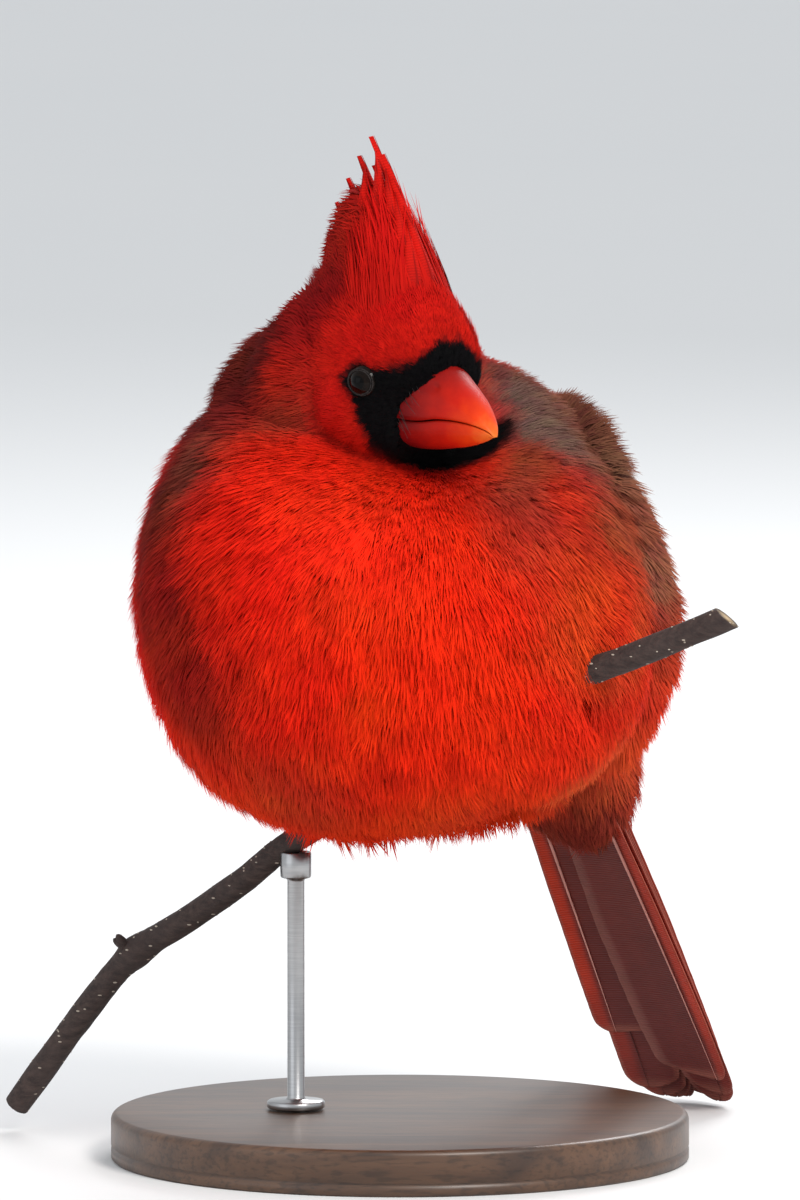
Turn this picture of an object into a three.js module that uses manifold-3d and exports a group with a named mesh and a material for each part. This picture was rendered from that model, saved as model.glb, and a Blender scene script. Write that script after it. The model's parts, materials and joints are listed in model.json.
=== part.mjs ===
// A male northern cardinal at life size, fluffed up against the cold, on a cut twig over a plain stand.
// Millimetres, +Z up. The origin is the centre of the stand base's underside, on the floor.
// The breast faces -Y and is turned to -X; the head is turned the other way, to +X.
import * as THREE from "three";
import { mergeVertices } from "three/addons/utils/BufferGeometryUtils.js";
import Module from "manifold-3d";

const wasm = await Module();
wasm.setup();
const { degToRad, lerp, clamp, smoothstep } = THREE.MathUtils;
const vec = (x, y, z) => new THREE.Vector3(x, y, z);

// Driving dimensions
const GAP = 0.35; // air between two nodes that touch on the real bird
const VANE = 0.55; // thickness of a feather vane at its edges
const SHAFT = 0.3; // what the shaft adds along the middle of a vane
const PITCH = VANE + 0.35; // from one vane to the next in a stack

const BODY = {
  centre: vec(0.4, 0, 98.5),
  yaw: degToRad(-36),
  radius: 45.3,
  columns: 36,
  rows: 22,
};
const HEAD = {
  centre: vec(0.3, -21, 138.3),
  yaw: degToRad(38),
  pitch: degToRad(11),
  columns: 28,
  rows: 18,
};
const NECK = {
  centre: vec(-6.4, 0.5, 126.5),
  columns: 26,
  rows: 14,
};
// The ruff between the cheek and the neck, in the world's frame.
const RUFF = { centre: vec(-8, -9, 133.5), radius: 17.8, columns: 18, rows: 10 };
const TAIL = {
  root: vec(1.5, 40, -23), // in the body's frame
  slope: degToRad(56.6), // below the horizontal
  length: 86,
};
const EYE = { radius: 3.25, opening: 2.45, lid: 0.42 };
const PERCH_RADIUS = 2.25;
const BASE = { radius: 50, height: 8, bevel: 1.2 };
const ROD = { x: -18, radius: 1.5, footRadius: 5, footHeight: 1.4, cupRadius: 2.7, cupHeight: 4.5 };
const PERCH_CUT = { at: vec(55.6, -47, 98.8), facing: vec(-0.95, 0.05, 0.35).normalize() };

// Solids

// A closed geometry as a solid, turned inside out if its faces point in.
function solidOf(geometry, matrix) {
  const bare = new THREE.BufferGeometry();
  bare.setAttribute("position", geometry.getAttribute("position").clone());
  if (geometry.index) bare.setIndex(geometry.index.clone());
  if (matrix) bare.applyMatrix4(matrix);
  const merged = mergeVertices(bare, 1e-4);
  const make = (triVerts) =>
    new wasm.Manifold(
      new wasm.Mesh({ numProp: 3, vertProperties: merged.attributes.position.array, triVerts }),
    );
  const triangles = new Uint32Array(merged.index.array);
  const solid = make(triangles);
  return solid.volume() > 0 ? solid : make(triangles.reverse());
}

function geometryOf(points, faces) {
  const geometry = new THREE.BufferGeometry().setFromPoints(points);
  return geometry.setIndex(faces.flat());
}

const union = (solids) => wasm.Manifold.union(solids);
const moved = (solid, matrix) => solid.transform(matrix.elements);

// The largest closed body of a solid: a loose scrap or a sealed hollow is left out.
function largest(solid) {
  const bodies = solid.decompose().filter((body) => body.volume() > 0);
  return bodies.reduce((best, body) => (body.volume() > best.volume() ? body : best));
}

// A closed surface through rings of equally many points, with a fan over each end.
function loft(rings) {
  const around = rings[0].length;
  const points = rings.flat();
  const faces = [];
  for (let ring = 0; ring + 1 < rings.length; ring++)
    for (let i = 0; i < around; i++) {
      const a = ring * around + i;
      const b = ring * around + ((i + 1) % around);
      faces.push([a, b, b + around], [a, b + around, a + around]);
    }
  const last = (rings.length - 1) * around;
  const ends = [rings[0], rings.at(-1)].map((ring) =>
    ring.reduce((sum, p) => sum.add(p), vec(0, 0, 0)).divideScalar(around),
  );
  points.push(...ends);
  for (let i = 0; i < around; i++) {
    const next = (i + 1) % around;
    faces.push([next, i, points.length - 2], [last + i, last + next, points.length - 1]);
  }
  return solidOf(geometryOf(points, faces));
}

// A thin plate between a lower and an upper grid of points, split alike on both faces.
function plate(lower, upper) {
  const rows = lower.length;
  const columns = lower[0].length;
  const points = [...lower.flat(), ...upper.flat()];
  const low = (row, column) => row * columns + column;
  const high = (row, column) => rows * columns + low(row, column);
  const faces = [];
  const quad = (a, b, c, d) => faces.push([a, b, c], [a, c, d]);
  for (let row = 0; row + 1 < rows; row++) {
    for (let column = 0; column + 1 < columns; column++) {
      const corner = [
        [row, column],
        [row + 1, column],
        [row + 1, column + 1],
        [row, column + 1],
      ];
      const [a, b, c, d] = corner.map((at) => low(...at));
      const [e, f, g, h] = corner.map((at) => high(...at));
      faces.push([c, b, a], [d, c, a], [e, f, g], [e, g, h]);
    }
    quad(low(row, 0), low(row + 1, 0), high(row + 1, 0), high(row, 0));
    const edge = columns - 1;
    quad(low(row + 1, edge), low(row, edge), high(row, edge), high(row + 1, edge));
  }
  for (let column = 0; column + 1 < columns; column++) {
    quad(low(0, column + 1), low(0, column), high(0, column), high(0, column + 1));
    const end = rows - 1;
    quad(low(end, column), low(end, column + 1), high(end, column + 1), high(end, column));
  }
  return solidOf(geometryOf(points, faces));
}

// A tube along points, with the radius that radiusAt gives for a share of its length.
function tube(points, radiusAt, sides) {
  const curve = new THREE.CatmullRomCurve3(points);
  const steps = points.length - 1;
  const frames = curve.computeFrenetFrames(steps, false);
  const rings = points.map((_, step) => {
    const share = step / steps;
    const centre = curve.getPoint(share);
    return Array.from({ length: sides }, (_, i) => {
      const turn = (2 * Math.PI * i) / sides;
      return centre
        .clone()
        .addScaledVector(frames.normals[step], Math.cos(turn) * radiusAt(share))
        .addScaledVector(frames.binormals[step], Math.sin(turn) * radiusAt(share));
    });
  });
  return loft(rings);
}

// Round forms: each is a ball whose radius depends on the direction from its centre

// A direction in a form's own frame: 0 points to the left side and 90 to the back.
function direction(azimuth, elevation) {
  const a = degToRad(azimuth);
  const e = degToRad(elevation);
  return vec(Math.cos(e) * Math.cos(a), Math.cos(e) * Math.sin(a), Math.sin(e));
}

// Soft swellings and dents on a form. side "both" mirrors one to the right side.
function lobes(list) {
  const all = list.flatMap(({ azimuth, elevation, rise, spread, side }) => {
    const at = direction(azimuth, elevation);
    const one = { at, rise, spread: degToRad(spread) };
    return side === "both" ? [one, { ...one, at: vec(-at.x, at.y, at.z) }] : [one];
  });
  return (dir) =>
    all.reduce((sum, { at, rise, spread }) => {
      const angle = Math.acos(clamp(dir.dot(at), -1, 1));
      return sum + rise * Math.exp(-((angle / spread) ** 2));
    }, 0);
}

const ellipsoid = (x, y, z) => (dir) =>
  1 / Math.sqrt((dir.x / x) ** 2 + (dir.y / y) ** 2 + (dir.z / z) ** 2);

function ball(radiusAt, columns, rows, extra = 0) {
  const geometry = new THREE.SphereGeometry(1, columns, rows).rotateX(Math.PI / 2);
  const position = geometry.getAttribute("position");
  for (let i = 0; i < position.count; i++) {
    const dir = new THREE.Vector3().fromBufferAttribute(position, i).normalize();
    dir.multiplyScalar(radiusAt(dir) + extra);
    position.setXYZ(i, dir.x, dir.y, dir.z);
  }
  return solidOf(geometry);
}

// The torso under the plumage's outline, puffed to a ball, with flanks that stand over the wings' edges.
const torsoLobes = lobes([
  { azimuth: -90, elevation: -8, rise: 1.5, spread: 45 },
  { azimuth: 2, elevation: -24, rise: 2.2, spread: 24, side: "both" },
  { azimuth: -6, elevation: 24, rise: 1.2, spread: 20, side: "both" },
  { azimuth: 50, elevation: 14, rise: -6.4, spread: 32, side: "both" },
  { azimuth: 90, elevation: 62, rise: -2, spread: 30 },
  { azimuth: 0, elevation: -90, rise: -4.6, spread: 34 },
  { azimuth: -140, elevation: -46, rise: 2, spread: 22 },
  { azimuth: -90, elevation: -62, rise: 1.4, spread: 16 },
  { azimuth: -47, elevation: 53, rise: -10, spread: 27 },
]);
const torsoRadius = (dir) => BODY.radius + torsoLobes(dir);

// The fluffed collar between the torso and the face, in the body's frame.
const neckLobes = lobes([
  { azimuth: -150, elevation: 8, rise: 1.2, spread: 30 },
  { azimuth: 150, elevation: 52, rise: -1.4, spread: 34 },
]);
const neckShape = ellipsoid(25, 24, 22.8);
const neckRadius = (dir) => neckShape(dir) + neckLobes(dir);

// The head under the crest: a flat forehead, full cheeks, and a long hind crown.
const headLobes = lobes([
  { azimuth: 90, elevation: 38, rise: 8.2, spread: 36 },
  { azimuth: 12, elevation: -30, rise: 1.8, spread: 26, side: "both" },
  { azimuth: -56, elevation: -14, rise: -1.5, spread: 18, side: "both" },
]);
const headShape = ellipsoid(12.9, 15, 15.6);
const headRadius = (dir) => headShape(dir) + headLobes(dir);

const bodyMatrix = new THREE.Matrix4()
  .makeRotationZ(BODY.yaw)
  .setPosition(BODY.centre);
const headMatrix = new THREE.Matrix4()
  .makeRotationZ(HEAD.yaw)
  .multiply(new THREE.Matrix4().makeRotationX(HEAD.pitch))
  .setPosition(HEAD.centre);
const worldToBody = bodyMatrix.clone().invert();
const worldToHead = headMatrix.clone().invert();
const neckMatrix = new THREE.Matrix4().makeRotationZ(BODY.yaw).setPosition(NECK.centre);
const neckToBody = worldToBody.clone().multiply(neckMatrix);
const headToBody = worldToBody.clone().multiply(headMatrix);
const bodyToHead = headToBody.clone().invert();
const neckToHead = worldToHead.clone().multiply(neckMatrix);

// The tail's own frame: x to the bird's left, y out of its upper side, z back up to its root.
const tailMatrix = new THREE.Matrix4()
  .makeRotationX(Math.PI / 2 - TAIL.slope)
  .setPosition(TAIL.root);

// Perch: the line of the cut twig, in the world's frame, rising to the bird's left and towards the front
const perchLine = new THREE.CatmullRomCurve3([
  vec(-67, 35.7, 4.4),
  vec(-55.2, 27.7, 21.6),
  vec(-46.7, 22, 32.4),
  vec(-36.6, 15.2, 39.8),
  vec(-27.4, 9, 47),
  vec(-20.5, 4.3, 53.2),
  vec(-5.2, -6, 63.8),
  vec(17.2, -21.1, 78.1),
  vec(32.8, -31.6, 88.1),
  vec(39.1, -35.9, 90.9),
  vec(56.6, -47.7, 99.4),
]);
const PERCH_STEPS = 26;
const PERCH_SIDES = 10;
const KNOT = { share: 0.215, rise: 0.7, spread: 0.018 };

function perchSolid(extra = 0) {
  const points = perchLine.getSpacedPoints(PERCH_STEPS);
  const radius = (share) =>
    PERCH_RADIUS +
    extra +
    KNOT.rise * Math.exp(-(((share - KNOT.share) / KNOT.spread) ** 2));
  return tube(points, radius, PERCH_SIDES);
}

// The twig's point above a given x, with its direction.
function perchAt(x) {
  const share = binarySearch((s) => perchLine.getPointAt(s).x - x);
  return { point: perchLine.getPointAt(share), along: perchLine.getTangentAt(share) };
}

function binarySearch(rising) {
  let low = 0;
  let high = 1;
  for (let i = 0; i < 40; i++) {
    const middle = (low + high) / 2;
    if (rising(middle) < 0) low = middle;
    else high = middle;
  }
  return low;
}

// The opening under the belly where the feet reach the twig, narrower than the belly's own feathers hide.
const SKIRT = {
  fromX: -30,
  toX: 15,
  stations: 7,
  halfWidth: 6.6,
  above: 8,
  below: 34,
  lean: vec(0.15, 0.5, -0.85),
};

function skirtSolid(inset = 0) {
  const rings = [];
  for (let i = 0; i < SKIRT.stations; i++) {
    const share = i / (SKIRT.stations - 1);
    const x = lerp(SKIRT.fromX + inset, SKIRT.toX - inset, share);
    const { point, along } = perchAt(x);
    const down = SKIRT.lean.clone().addScaledVector(along, -SKIRT.lean.dot(along)).normalize();
    const across = new THREE.Vector3().crossVectors(along, down).normalize();
    const half = SKIRT.halfWidth - inset;
    const top = inset - SKIRT.above;
    const corners = [
      [-half * 0.5, top],
      [-half, top + 3],
      [-half, SKIRT.below],
      [half, SKIRT.below],
      [half, top + 3],
      [half * 0.5, top],
    ];
    rings.push(
      corners.map(([side, drop]) =>
        point.clone().addScaledVector(across, side).addScaledVector(down, drop),
      ),
    );
  }
  return loft(rings);
}

// Tail: twelve rectrices, the two sides in step except for the middle pair on top and the outer pair below
const RECTRIX = {
  stations: [0, 0.16, 0.45, 0.78, 0.93, 1],
  taper: [0.35, 0.8, 0.97, 1, 0.78, 0.24],
  start: -7,
};
// One line for each pair from the middle out: shaft's place at the tip, vane widths, length.
const RECTRICES = [
  { place: 1.2, outer: 6.6, inner: 6.3, length: 86 },
  { place: 2.7, outer: 5.8, inner: 2.55, length: 86 },
  { place: 4.4, outer: 5.1, inner: 4.25, length: 85.5 },
  { place: 6.1, outer: 4.5, inner: 5.95, length: 84.5 },
  { place: 7.9, outer: 4.1, inner: 7.75, length: 82 },
  { place: 9.7, outer: 3.6, inner: 12.6, length: 77 },
];
const STACK_LEFT = [3, 4, 5, 6, 7, 9]; // layers down from the back, for the bird's left side
const STACK_RIGHT = [2, 4, 5, 6, 7, 8];
const STACK_MIDDLE = 5.5;
const TAIL_CAMBER = 0.009; // the tail's cross-section sinks by this times the square of its width
const TAIL_BEND = 2.2; // and its tip bows towards the belly by this
const OUTER_RIGHT_SHORTER = 8; // the outer feather of the right side ends well short of its twin

function tailPoint(x, layer, z) {
  const share = z / -TAIL.length;
  const depth = (STACK_MIDDLE - layer) * PITCH;
  return vec(x, depth - TAIL_CAMBER * x * x - TAIL_BEND * share * share, z);
}

function rectrix(side, rank) {
  const { place, outer, inner, length } = RECTRICES[rank];
  const left = side > 0;
  const layer = (left ? STACK_LEFT : STACK_RIGHT)[rank];
  const reach = rank === 5 && !left ? length - OUTER_RIGHT_SHORTER : length;
  const lower = [];
  const upper = [];
  RECTRIX.stations.forEach((share, i) => {
    const z = lerp(RECTRIX.start, -reach, share);
    const shaft = place * lerp(0.55, 1, share);
    const width = RECTRIX.taper[i];
    const xs = [shaft - inner * width, shaft, shaft + outer * width].map((x) => x * side);
    if (side < 0) xs.reverse();
    lower.push(xs.map((x, j) => tailPoint(x, layer, z)));
    upper.push(
      xs.map((x, j) => tailPoint(x, layer, z).add(vec(0, VANE + (j === 1 ? SHAFT / 2 : 0), 0))),
    );
  });
  return plate(lower, upper);
}

// The quills' common root: an oval plug that all twelve feathers leave.
function ovalRings(list) {
  const sides = 16;
  return list.map(({ z, halfWidth, halfDepth, middle = 0 }) =>
    Array.from({ length: sides }, (_, i) => {
      const turn = (2 * Math.PI * i) / sides;
      return vec(Math.cos(turn) * halfWidth, middle + Math.sin(turn) * halfDepth, z);
    }),
  );
}

function tailSolid() {
  const feathers = RECTRICES.flatMap((_, rank) => [rectrix(1, rank), rectrix(-1, rank)]);
  const plug = loft(
    ovalRings([
      { z: RECTRIX.start + 0.2, halfWidth: 6.4, halfDepth: 3.3 },
      { z: RECTRIX.start - 9, halfWidth: 7.4, halfDepth: 3.4 },
      { z: RECTRIX.start - 14, halfWidth: 6, halfDepth: 2.6 },
    ]),
  );
  return largest(union([plug, ...feathers]));
}

// The socket in the rump that the tail leaves, a little larger than the tail's own bundle.
function tailSocket() {
  const rings = [
    { z: RECTRIX.start + GAP + 0.2, halfWidth: 7.2 },
    { z: -24, halfWidth: 12.6 },
    { z: -40, halfWidth: 14.2 },
    { z: -100, halfWidth: 15 },
  ].map(({ z, halfWidth }) => {
    const top = 3.9;
    const bottom = -4.6;
    const corners = [
      [-halfWidth, bottom],
      [halfWidth, bottom],
      [halfWidth, top - 0.5],
      [halfWidth * 0.5, top],
      [-halfWidth * 0.5, top],
      [-halfWidth, top - 0.5],
    ];
    return corners.map(([x, y]) => vec(x, y, z));
  });
  return loft(rings);
}

// Rump and tail coverts, in the tail's frame
const RUMP = { centreZ: -4, halfWidth: 14.2, halfDepth: 11.8, halfLength: 25 };
const COVERT_SHARES = [0, 0.6, 1];
const COVERT_TAPER = [0.7, 1, 0.16];

function covert({ x, fan, fromZ, toZ, fromY, toY, width }) {
  const lower = [];
  const upper = [];
  COVERT_SHARES.forEach((share, i) => {
    const z = lerp(fromZ, toZ, share);
    const middle = x + fan * share;
    const y = lerp(fromY, toY, share);
    const half = (width / 2) * COVERT_TAPER[i];
    const row = [-half, 0, half].map((offset) => {
      const at = middle + offset;
      return vec(at, y - Math.sign(y) * 0.035 * at * at, z);
    });
    lower.push(row);
    upper.push(row.map((p, j) => p.clone().add(vec(0, VANE + (j === 1 ? SHAFT : 0), 0))));
  });
  return plate(lower, upper);
}

function tailCoverts() {
  const under = [
    { tips: [-9.6, 0, 9.6], toZ: -24, toY: -8.4, width: 10.5 },
    { tips: [-5, 5], toZ: -29, toY: -6.6, width: 9.5 },
  ];
  const over = [
    { tips: [-8, 0, 8], toZ: -25, toY: 6.9, width: 9 },
    { tips: [-4, 4], toZ: -31, toY: 5.3, width: 8 },
  ];
  const row = ({ tips, toZ, toY, width }) =>
    tips.map((x, i) =>
      covert({
        x: x * 0.85,
        fan: x * 0.15,
        fromZ: -13,
        toZ: toZ + 1.6 * Math.abs(i - (tips.length - 1) / 2),
        fromY: toY * 0.92,
        toY,
        width,
      }),
    );
  return [...under, ...over].flatMap(row);
}

// Wings, laid on the torso's own surface, in the body's frame
const WING = {
  shoulder: direction(26, 34),
  tip: direction(54, -36),
  surface: 45, // radius that turns distances along the wing into angles
  standoff: 6.5, // how far the tips spring clear of the rump
  length: 66,
};
const wingAxis = (() => {
  const from = WING.shoulder;
  const down = WING.tip.clone().addScaledVector(from, -WING.tip.dot(from)).normalize();
  const inward = new THREE.Vector3().crossVectors(from, down).negate().normalize();
  return { from, down, inward: inward.y > 0 ? inward : inward.negate() };
})();

// A point of the left wing: along from the shoulder, across towards the spine, height over the torso.
function wingPoint(along, across, height) {
  const a = along / WING.surface;
  const b = across / WING.surface;
  const dir = wingAxis.from
    .clone()
    .multiplyScalar(Math.cos(a))
    .addScaledVector(wingAxis.down, Math.sin(a))
    .multiplyScalar(Math.cos(b))
    .addScaledVector(wingAxis.inward, Math.sin(b));
  const share = clamp(along / WING.length, 0, 1.1);
  const floor = 0.5 + WING.standoff * share ** 2.2;
  const mirrored = vec(-dir.x, dir.y, dir.z);
  const under = Math.max(torsoRadius(dir), torsoRadius(mirrored)) + 0.25;
  return dir.multiplyScalar(under + floor + height);
}

const LONG_VANE = { shares: [0, 0.42, 0.84, 1], taper: [0.6, 1, 0.82, 0.16] };
const SHORT_VANE = { shares: [0, 0.7, 1], taper: [0.8, 1, 0.3] };

// One vane of a tier: its inner edge lies under the next feather in, its outer edge over the last one out.
function wingVane(tier, i) {
  const { form, spacing, width, rootHeight, tipHeight } = tier;
  const root = tier.root(i);
  const tip = tier.tip(i);
  const lower = [];
  const upper = [];
  form.shares.forEach((share, k) => {
    const along = lerp(root.along, tip.along, share);
    const middle = lerp(root.across, tip.across, share);
    const half = (width / 2) * form.taper[k];
    const level = lerp(rootHeight, tipHeight, share);
    const row = (lift) =>
      [-half, 0, half].map((offset, j) => {
        const shingle = ((width / 2 - offset) / spacing) * PITCH;
        const shaft = j === 1 ? lift * SHAFT : 0;
        return wingPoint(along, middle + offset, level + shingle + lift * VANE + shaft);
      });
    lower.push(row(0));
    upper.push(row(1));
  });
  return plate(lower, upper);
}

const WING_TIERS = [
  // primaries
  {
    count: 6,
    form: LONG_VANE,
    spacing: 2.3,
    width: 4.8,
    rootHeight: 0,
    tipHeight: 0,
    root: (i) => ({ along: 14, across: -3 + 2.3 * i }),
    tip: (i) => ({ along: [58, 63, 66, 65.5, 63.5, 61][i], across: -2 + 2.3 * i }),
  },
  // secondaries
  {
    count: 5,
    form: LONG_VANE,
    spacing: 3,
    width: 6,
    rootHeight: 0.3,
    tipHeight: 1.2,
    root: (i) => ({ along: 14, across: 9 + 3 * i }),
    tip: (i) => ({ along: 55 - 0.8 * i, across: 8 + 2.7 * i }),
  },
  // tertials
  {
    count: 3,
    form: LONG_VANE,
    spacing: 4,
    width: 8,
    rootHeight: 1.2,
    tipHeight: 2.4,
    root: (i) => ({ along: 12, across: 16 + 4 * i }),
    tip: (i) => ({ along: [51, 46, 40][i], across: 14.5 + 3.6 * i }),
  },
  // greater coverts
  {
    count: 6,
    form: SHORT_VANE,
    spacing: 4.5,
    width: 7,
    rootHeight: 1.6,
    tipHeight: 2.6,
    root: (i) => ({ along: 8, across: 1 + 4.5 * i }),
    tip: (i) => ({ along: 27 - 0.7 * i, across: 0.5 + 4.5 * i }),
  },
  // median coverts
  {
    count: 5,
    form: SHORT_VANE,
    spacing: 5.2,
    width: 7.8,
    rootHeight: 1.8,
    tipHeight: 3.1,
    root: (i) => ({ along: -1, across: 2.4 + 5.2 * i }),
    tip: (i) => ({ along: 15.5, across: 1.8 + 5.2 * i }),
  },
];

// The wing's arm under its coverts, a low pad that every feather's root is sunk in.
function wingPad() {
  const alongs = [-6, -2.5, 6, 17, 25];
  const acrosses = [-4, -1, 9, 19, 27.5, 30.5];
  const top = (along, across) => {
    const round = (value, low, high) =>
      smoothstep(value, low, low + 6) * (1 - smoothstep(value, high - 6, high));
    return 0.5 + 2.5 * round(along, -7, 26.5) * round(across, -5, 31.5);
  };
  const grid = (height) => alongs.map((a) => acrosses.map((c) => wingPoint(a, c, height(a, c))));
  return plate(
    grid(() => 0),
    grid(top),
  );
}

function wingSolid(side) {
  const vanes = WING_TIERS.flatMap((tier) =>
    Array.from({ length: tier.count }, (_, i) => wingVane(tier, i)),
  );
  const left = largest(union([wingPad(), ...vanes]));
  return side > 0 ? left : left.mirror([1, 0, 0]);
}

// Crest: long pointed feathers that rise from the whole crown and lean together to one tip
const CREST = {
  apex: vec(0, 15.6, 36.7), // in the head's frame
  nape: vec(0, 30, 7), // the hind edge falls from the apex towards this point
  rows: [
    { lean: 44, fall: 0.07, columns: 3 },
    { lean: 24, fall: 0, columns: 4 },
    { lean: 4, fall: 0.13, columns: 3 },
    { lean: -16, fall: 0.36, columns: 4 },
    { lean: -38, fall: 0.64, columns: 4 },
  ],
  sideLean: 48,
  width: 6,
  seed: 7,
};
const CREST_VANE = { shares: [0, 0.4, 0.78, 1], taper: [0.8, 1, 0.5, 0.08] };

// A small generator of repeatable numbers from 0 to 1.
function seeded(seed) {
  let state = seed;
  return () => {
    state = (state * 1664525 + 1013904223) % 4294967296;
    return state / 4294967296;
  };
}

// The packed bases of the crest's feathers, up to half its height.
const CREST_CORE = [
  { up: 3, back: 4, halfWidth: 10.5, halfLength: 13 },
  { up: 11, back: 6.6, halfWidth: 8.6, halfLength: 13.4 },
  { up: 18.5, back: 9.4, halfWidth: 5, halfLength: 10.4 },
  { up: 24, back: 11.4, halfWidth: 2.4, halfLength: 5.6 },
];
const CREST_CORE_SIDES = 12;

function crestCore() {
  const rings = CREST_CORE.map(({ up, back, halfWidth, halfLength }) =>
    Array.from({ length: CREST_CORE_SIDES }, (_, i) => {
      const turn = (2 * Math.PI * i) / CREST_CORE_SIDES;
      return vec(halfWidth * Math.cos(turn), back + halfLength * Math.sin(turn), up);
    }),
  );
  return loft(rings);
}

function crestFeather(root, tip, outward, width) {
  const rise = root.distanceTo(tip);
  const control = root.clone().lerp(tip, 0.45).addScaledVector(outward, rise * 0.1);
  const path = new THREE.QuadraticBezierCurve3(root, control, tip);
  const lower = [];
  const upper = [];
  CREST_VANE.shares.forEach((share, i) => {
    const at = path.getPoint(share);
    const along = path.getTangent(share);
    const axisPoint = vec(0, 0, 8).lerp(CREST.apex, clamp((at.z - 8) / (CREST.apex.z - 8), 0, 1));
    const face = at.clone().sub(axisPoint).addScaledVector(outward, 3);
    face.addScaledVector(along, -face.dot(along)).normalize();
    const across = new THREE.Vector3().crossVectors(along, face);
    const half = (width / 2) * CREST_VANE.taper[i];
    const thickness = lerp(VANE, 0.35, share);
    const row = [-half, 0, half].map((offset) =>
      at
        .clone()
        .addScaledVector(across, offset)
        .addScaledVector(face, -0.06 * offset * offset),
    );
    lower.push(row);
    upper.push(
      row.map((p, j) => p.clone().addScaledVector(face, thickness + (j === 1 ? SHAFT : 0))),
    );
  });
  return plate(lower, upper);
}

function crestSolids() {
  const random = seeded(CREST.seed);
  return CREST.rows.flatMap(({ lean, fall, columns }) =>
    Array.from({ length: columns }, (_, column) => {
      const side = (2 * column) / (columns - 1) - 1;
      const l = degToRad(side * CREST.sideLean);
      const m = degToRad(lean);
      const outward = vec(Math.sin(l), -Math.cos(l) * Math.sin(m), Math.cos(l) * Math.cos(m));
      const layer = (column % 2) * PITCH;
      const root = outward.clone().multiplyScalar(headRadius(outward) - 1.6 + layer);
      const share = 1 - 0.3 * side * side + 0.06 * (random() - 0.5);
      const end = CREST.apex.clone().lerp(CREST.nape, fall).add(vec(side * 2.4, 0, layer));
      const tip = root.clone().lerp(end, share);
      return crestFeather(root, tip, outward, CREST.width * (0.9 + 0.2 * random()));
    }),
  );
}

// Eyes and lids, in the head's frame
const eyeOutward = (side) => vec(side * 11.6, -4.1, 0.2).normalize();

function eyeCentre(side) {
  const outward = eyeOutward(side);
  const sunk = Math.sqrt((EYE.radius + GAP) ** 2 - EYE.opening ** 2);
  return outward.multiplyScalar(headRadius(eyeOutward(side)) - sunk + 0.25);
}

function eyeSolid(side, extra = 0) {
  const sphere = new THREE.SphereGeometry(EYE.radius + extra, 16, 9);
  const centre = eyeCentre(side);
  return solidOf(sphere, new THREE.Matrix4().setPosition(centre));
}

function lidSolid(side) {
  const ring = new THREE.TorusGeometry(EYE.opening + 0.15, EYE.lid, 6, 18);
  const outward = eyeOutward(side);
  const turn = new THREE.Quaternion().setFromUnitVectors(vec(0, 0, 1), outward);
  const at = outward.clone().multiplyScalar(headRadius(outward) + 0.1);
  return solidOf(ring, new THREE.Matrix4().makeRotationFromQuaternion(turn).setPosition(at));
}

// Bill, in the head's frame: forward is -y. A station gives the heights of culmen, mouth line and chin.
const BILL = [
  { forward: 6.0, top: 6.2, mouth: -4.6, bottom: -11.2, half: 6.6 },
  { forward: 10.5, top: 5.6, mouth: -4.9, bottom: -10.2, half: 6.3 },
  { forward: 13.5, top: 4.5, mouth: -4.5, bottom: -9.6, half: 5.9 },
  { forward: 16.5, top: 3.3, mouth: -3.6, bottom: -8.9, half: 5.2 },
  { forward: 19.5, top: 1.9, mouth: -3.0, bottom: -7.9, half: 4.3 },
  { forward: 22.3, top: 0.3, mouth: -2.8, bottom: -6.7, half: 3.2 },
  { forward: 24.8, top: -1.5, mouth: -3.0, bottom: -5.4, half: 2.0 },
  { forward: 26.4, top: -2.9, mouth: -3.5, bottom: -4.3, half: 1.0 },
];
const BILL_TIP = { forward: 27.3, height: -4.4, half: 0.3 };
const MOUTH_GAP = 0.34;
const NOSTRIL = { forward: 14.6, height: 1.7, side: 4.6, radius: 0.75 };
const BILL_SIDES = 7;

// Half of a bill's section: an arch from one edge of the mouth to the other, pointed towards the keel.
function archRing({ forward, half, edge, keel }) {
  return Array.from({ length: BILL_SIDES }, (_, i) => {
    const turn = (Math.PI * i) / (BILL_SIDES - 1);
    const lift = Math.sin(turn) ** 0.85;
    return vec(half * Math.cos(turn), -forward, lerp(edge, keel, lift));
  });
}

function upperBill() {
  const rings = BILL.map(({ forward, top, mouth, half }) =>
    archRing({ forward, half, edge: mouth + MOUTH_GAP / 2, keel: top }),
  );
  const { forward, height, half } = BILL_TIP;
  rings.push(archRing({ forward, half, edge: height - 0.1, keel: height + 0.5 }));
  return loft(rings);
}

function lowerBill() {
  const rings = BILL.slice(0, -1).map(({ forward, bottom, mouth, half }) =>
    archRing({ forward, half: half * 0.93, edge: mouth - MOUTH_GAP / 2, keel: bottom }),
  );
  const { forward, mouth } = BILL.at(-1);
  rings.push(archRing({ forward, half: 0.5, edge: mouth - MOUTH_GAP / 2, keel: mouth - 0.7 }));
  return loft(rings);
}

function nostril(side) {
  const pit = new THREE.SphereGeometry(NOSTRIL.radius, 10, 8).scale(1.4, 1.5, 0.8);
  const at = vec(side * NOSTRIL.side, -NOSTRIL.forward, NOSTRIL.height);
  return solidOf(pit, new THREE.Matrix4().setPosition(at));
}

// Legs, in the world's frame: toes closed round the twig, the shank going up into the belly
const FOOT = {
  toe: 1.05,
  spread: 3.1,
  shank: 1.25,
  shankTop: 11,
  hind: 1.15,
};

function footFrame(x) {
  const { point, along } = perchAt(x);
  const up = vec(0, 0, 1).addScaledVector(along, -along.z).normalize();
  const front = new THREE.Vector3().crossVectors(up, along).normalize();
  if (front.y > 0) front.negate();
  return { point, along, up, front };
}

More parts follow.
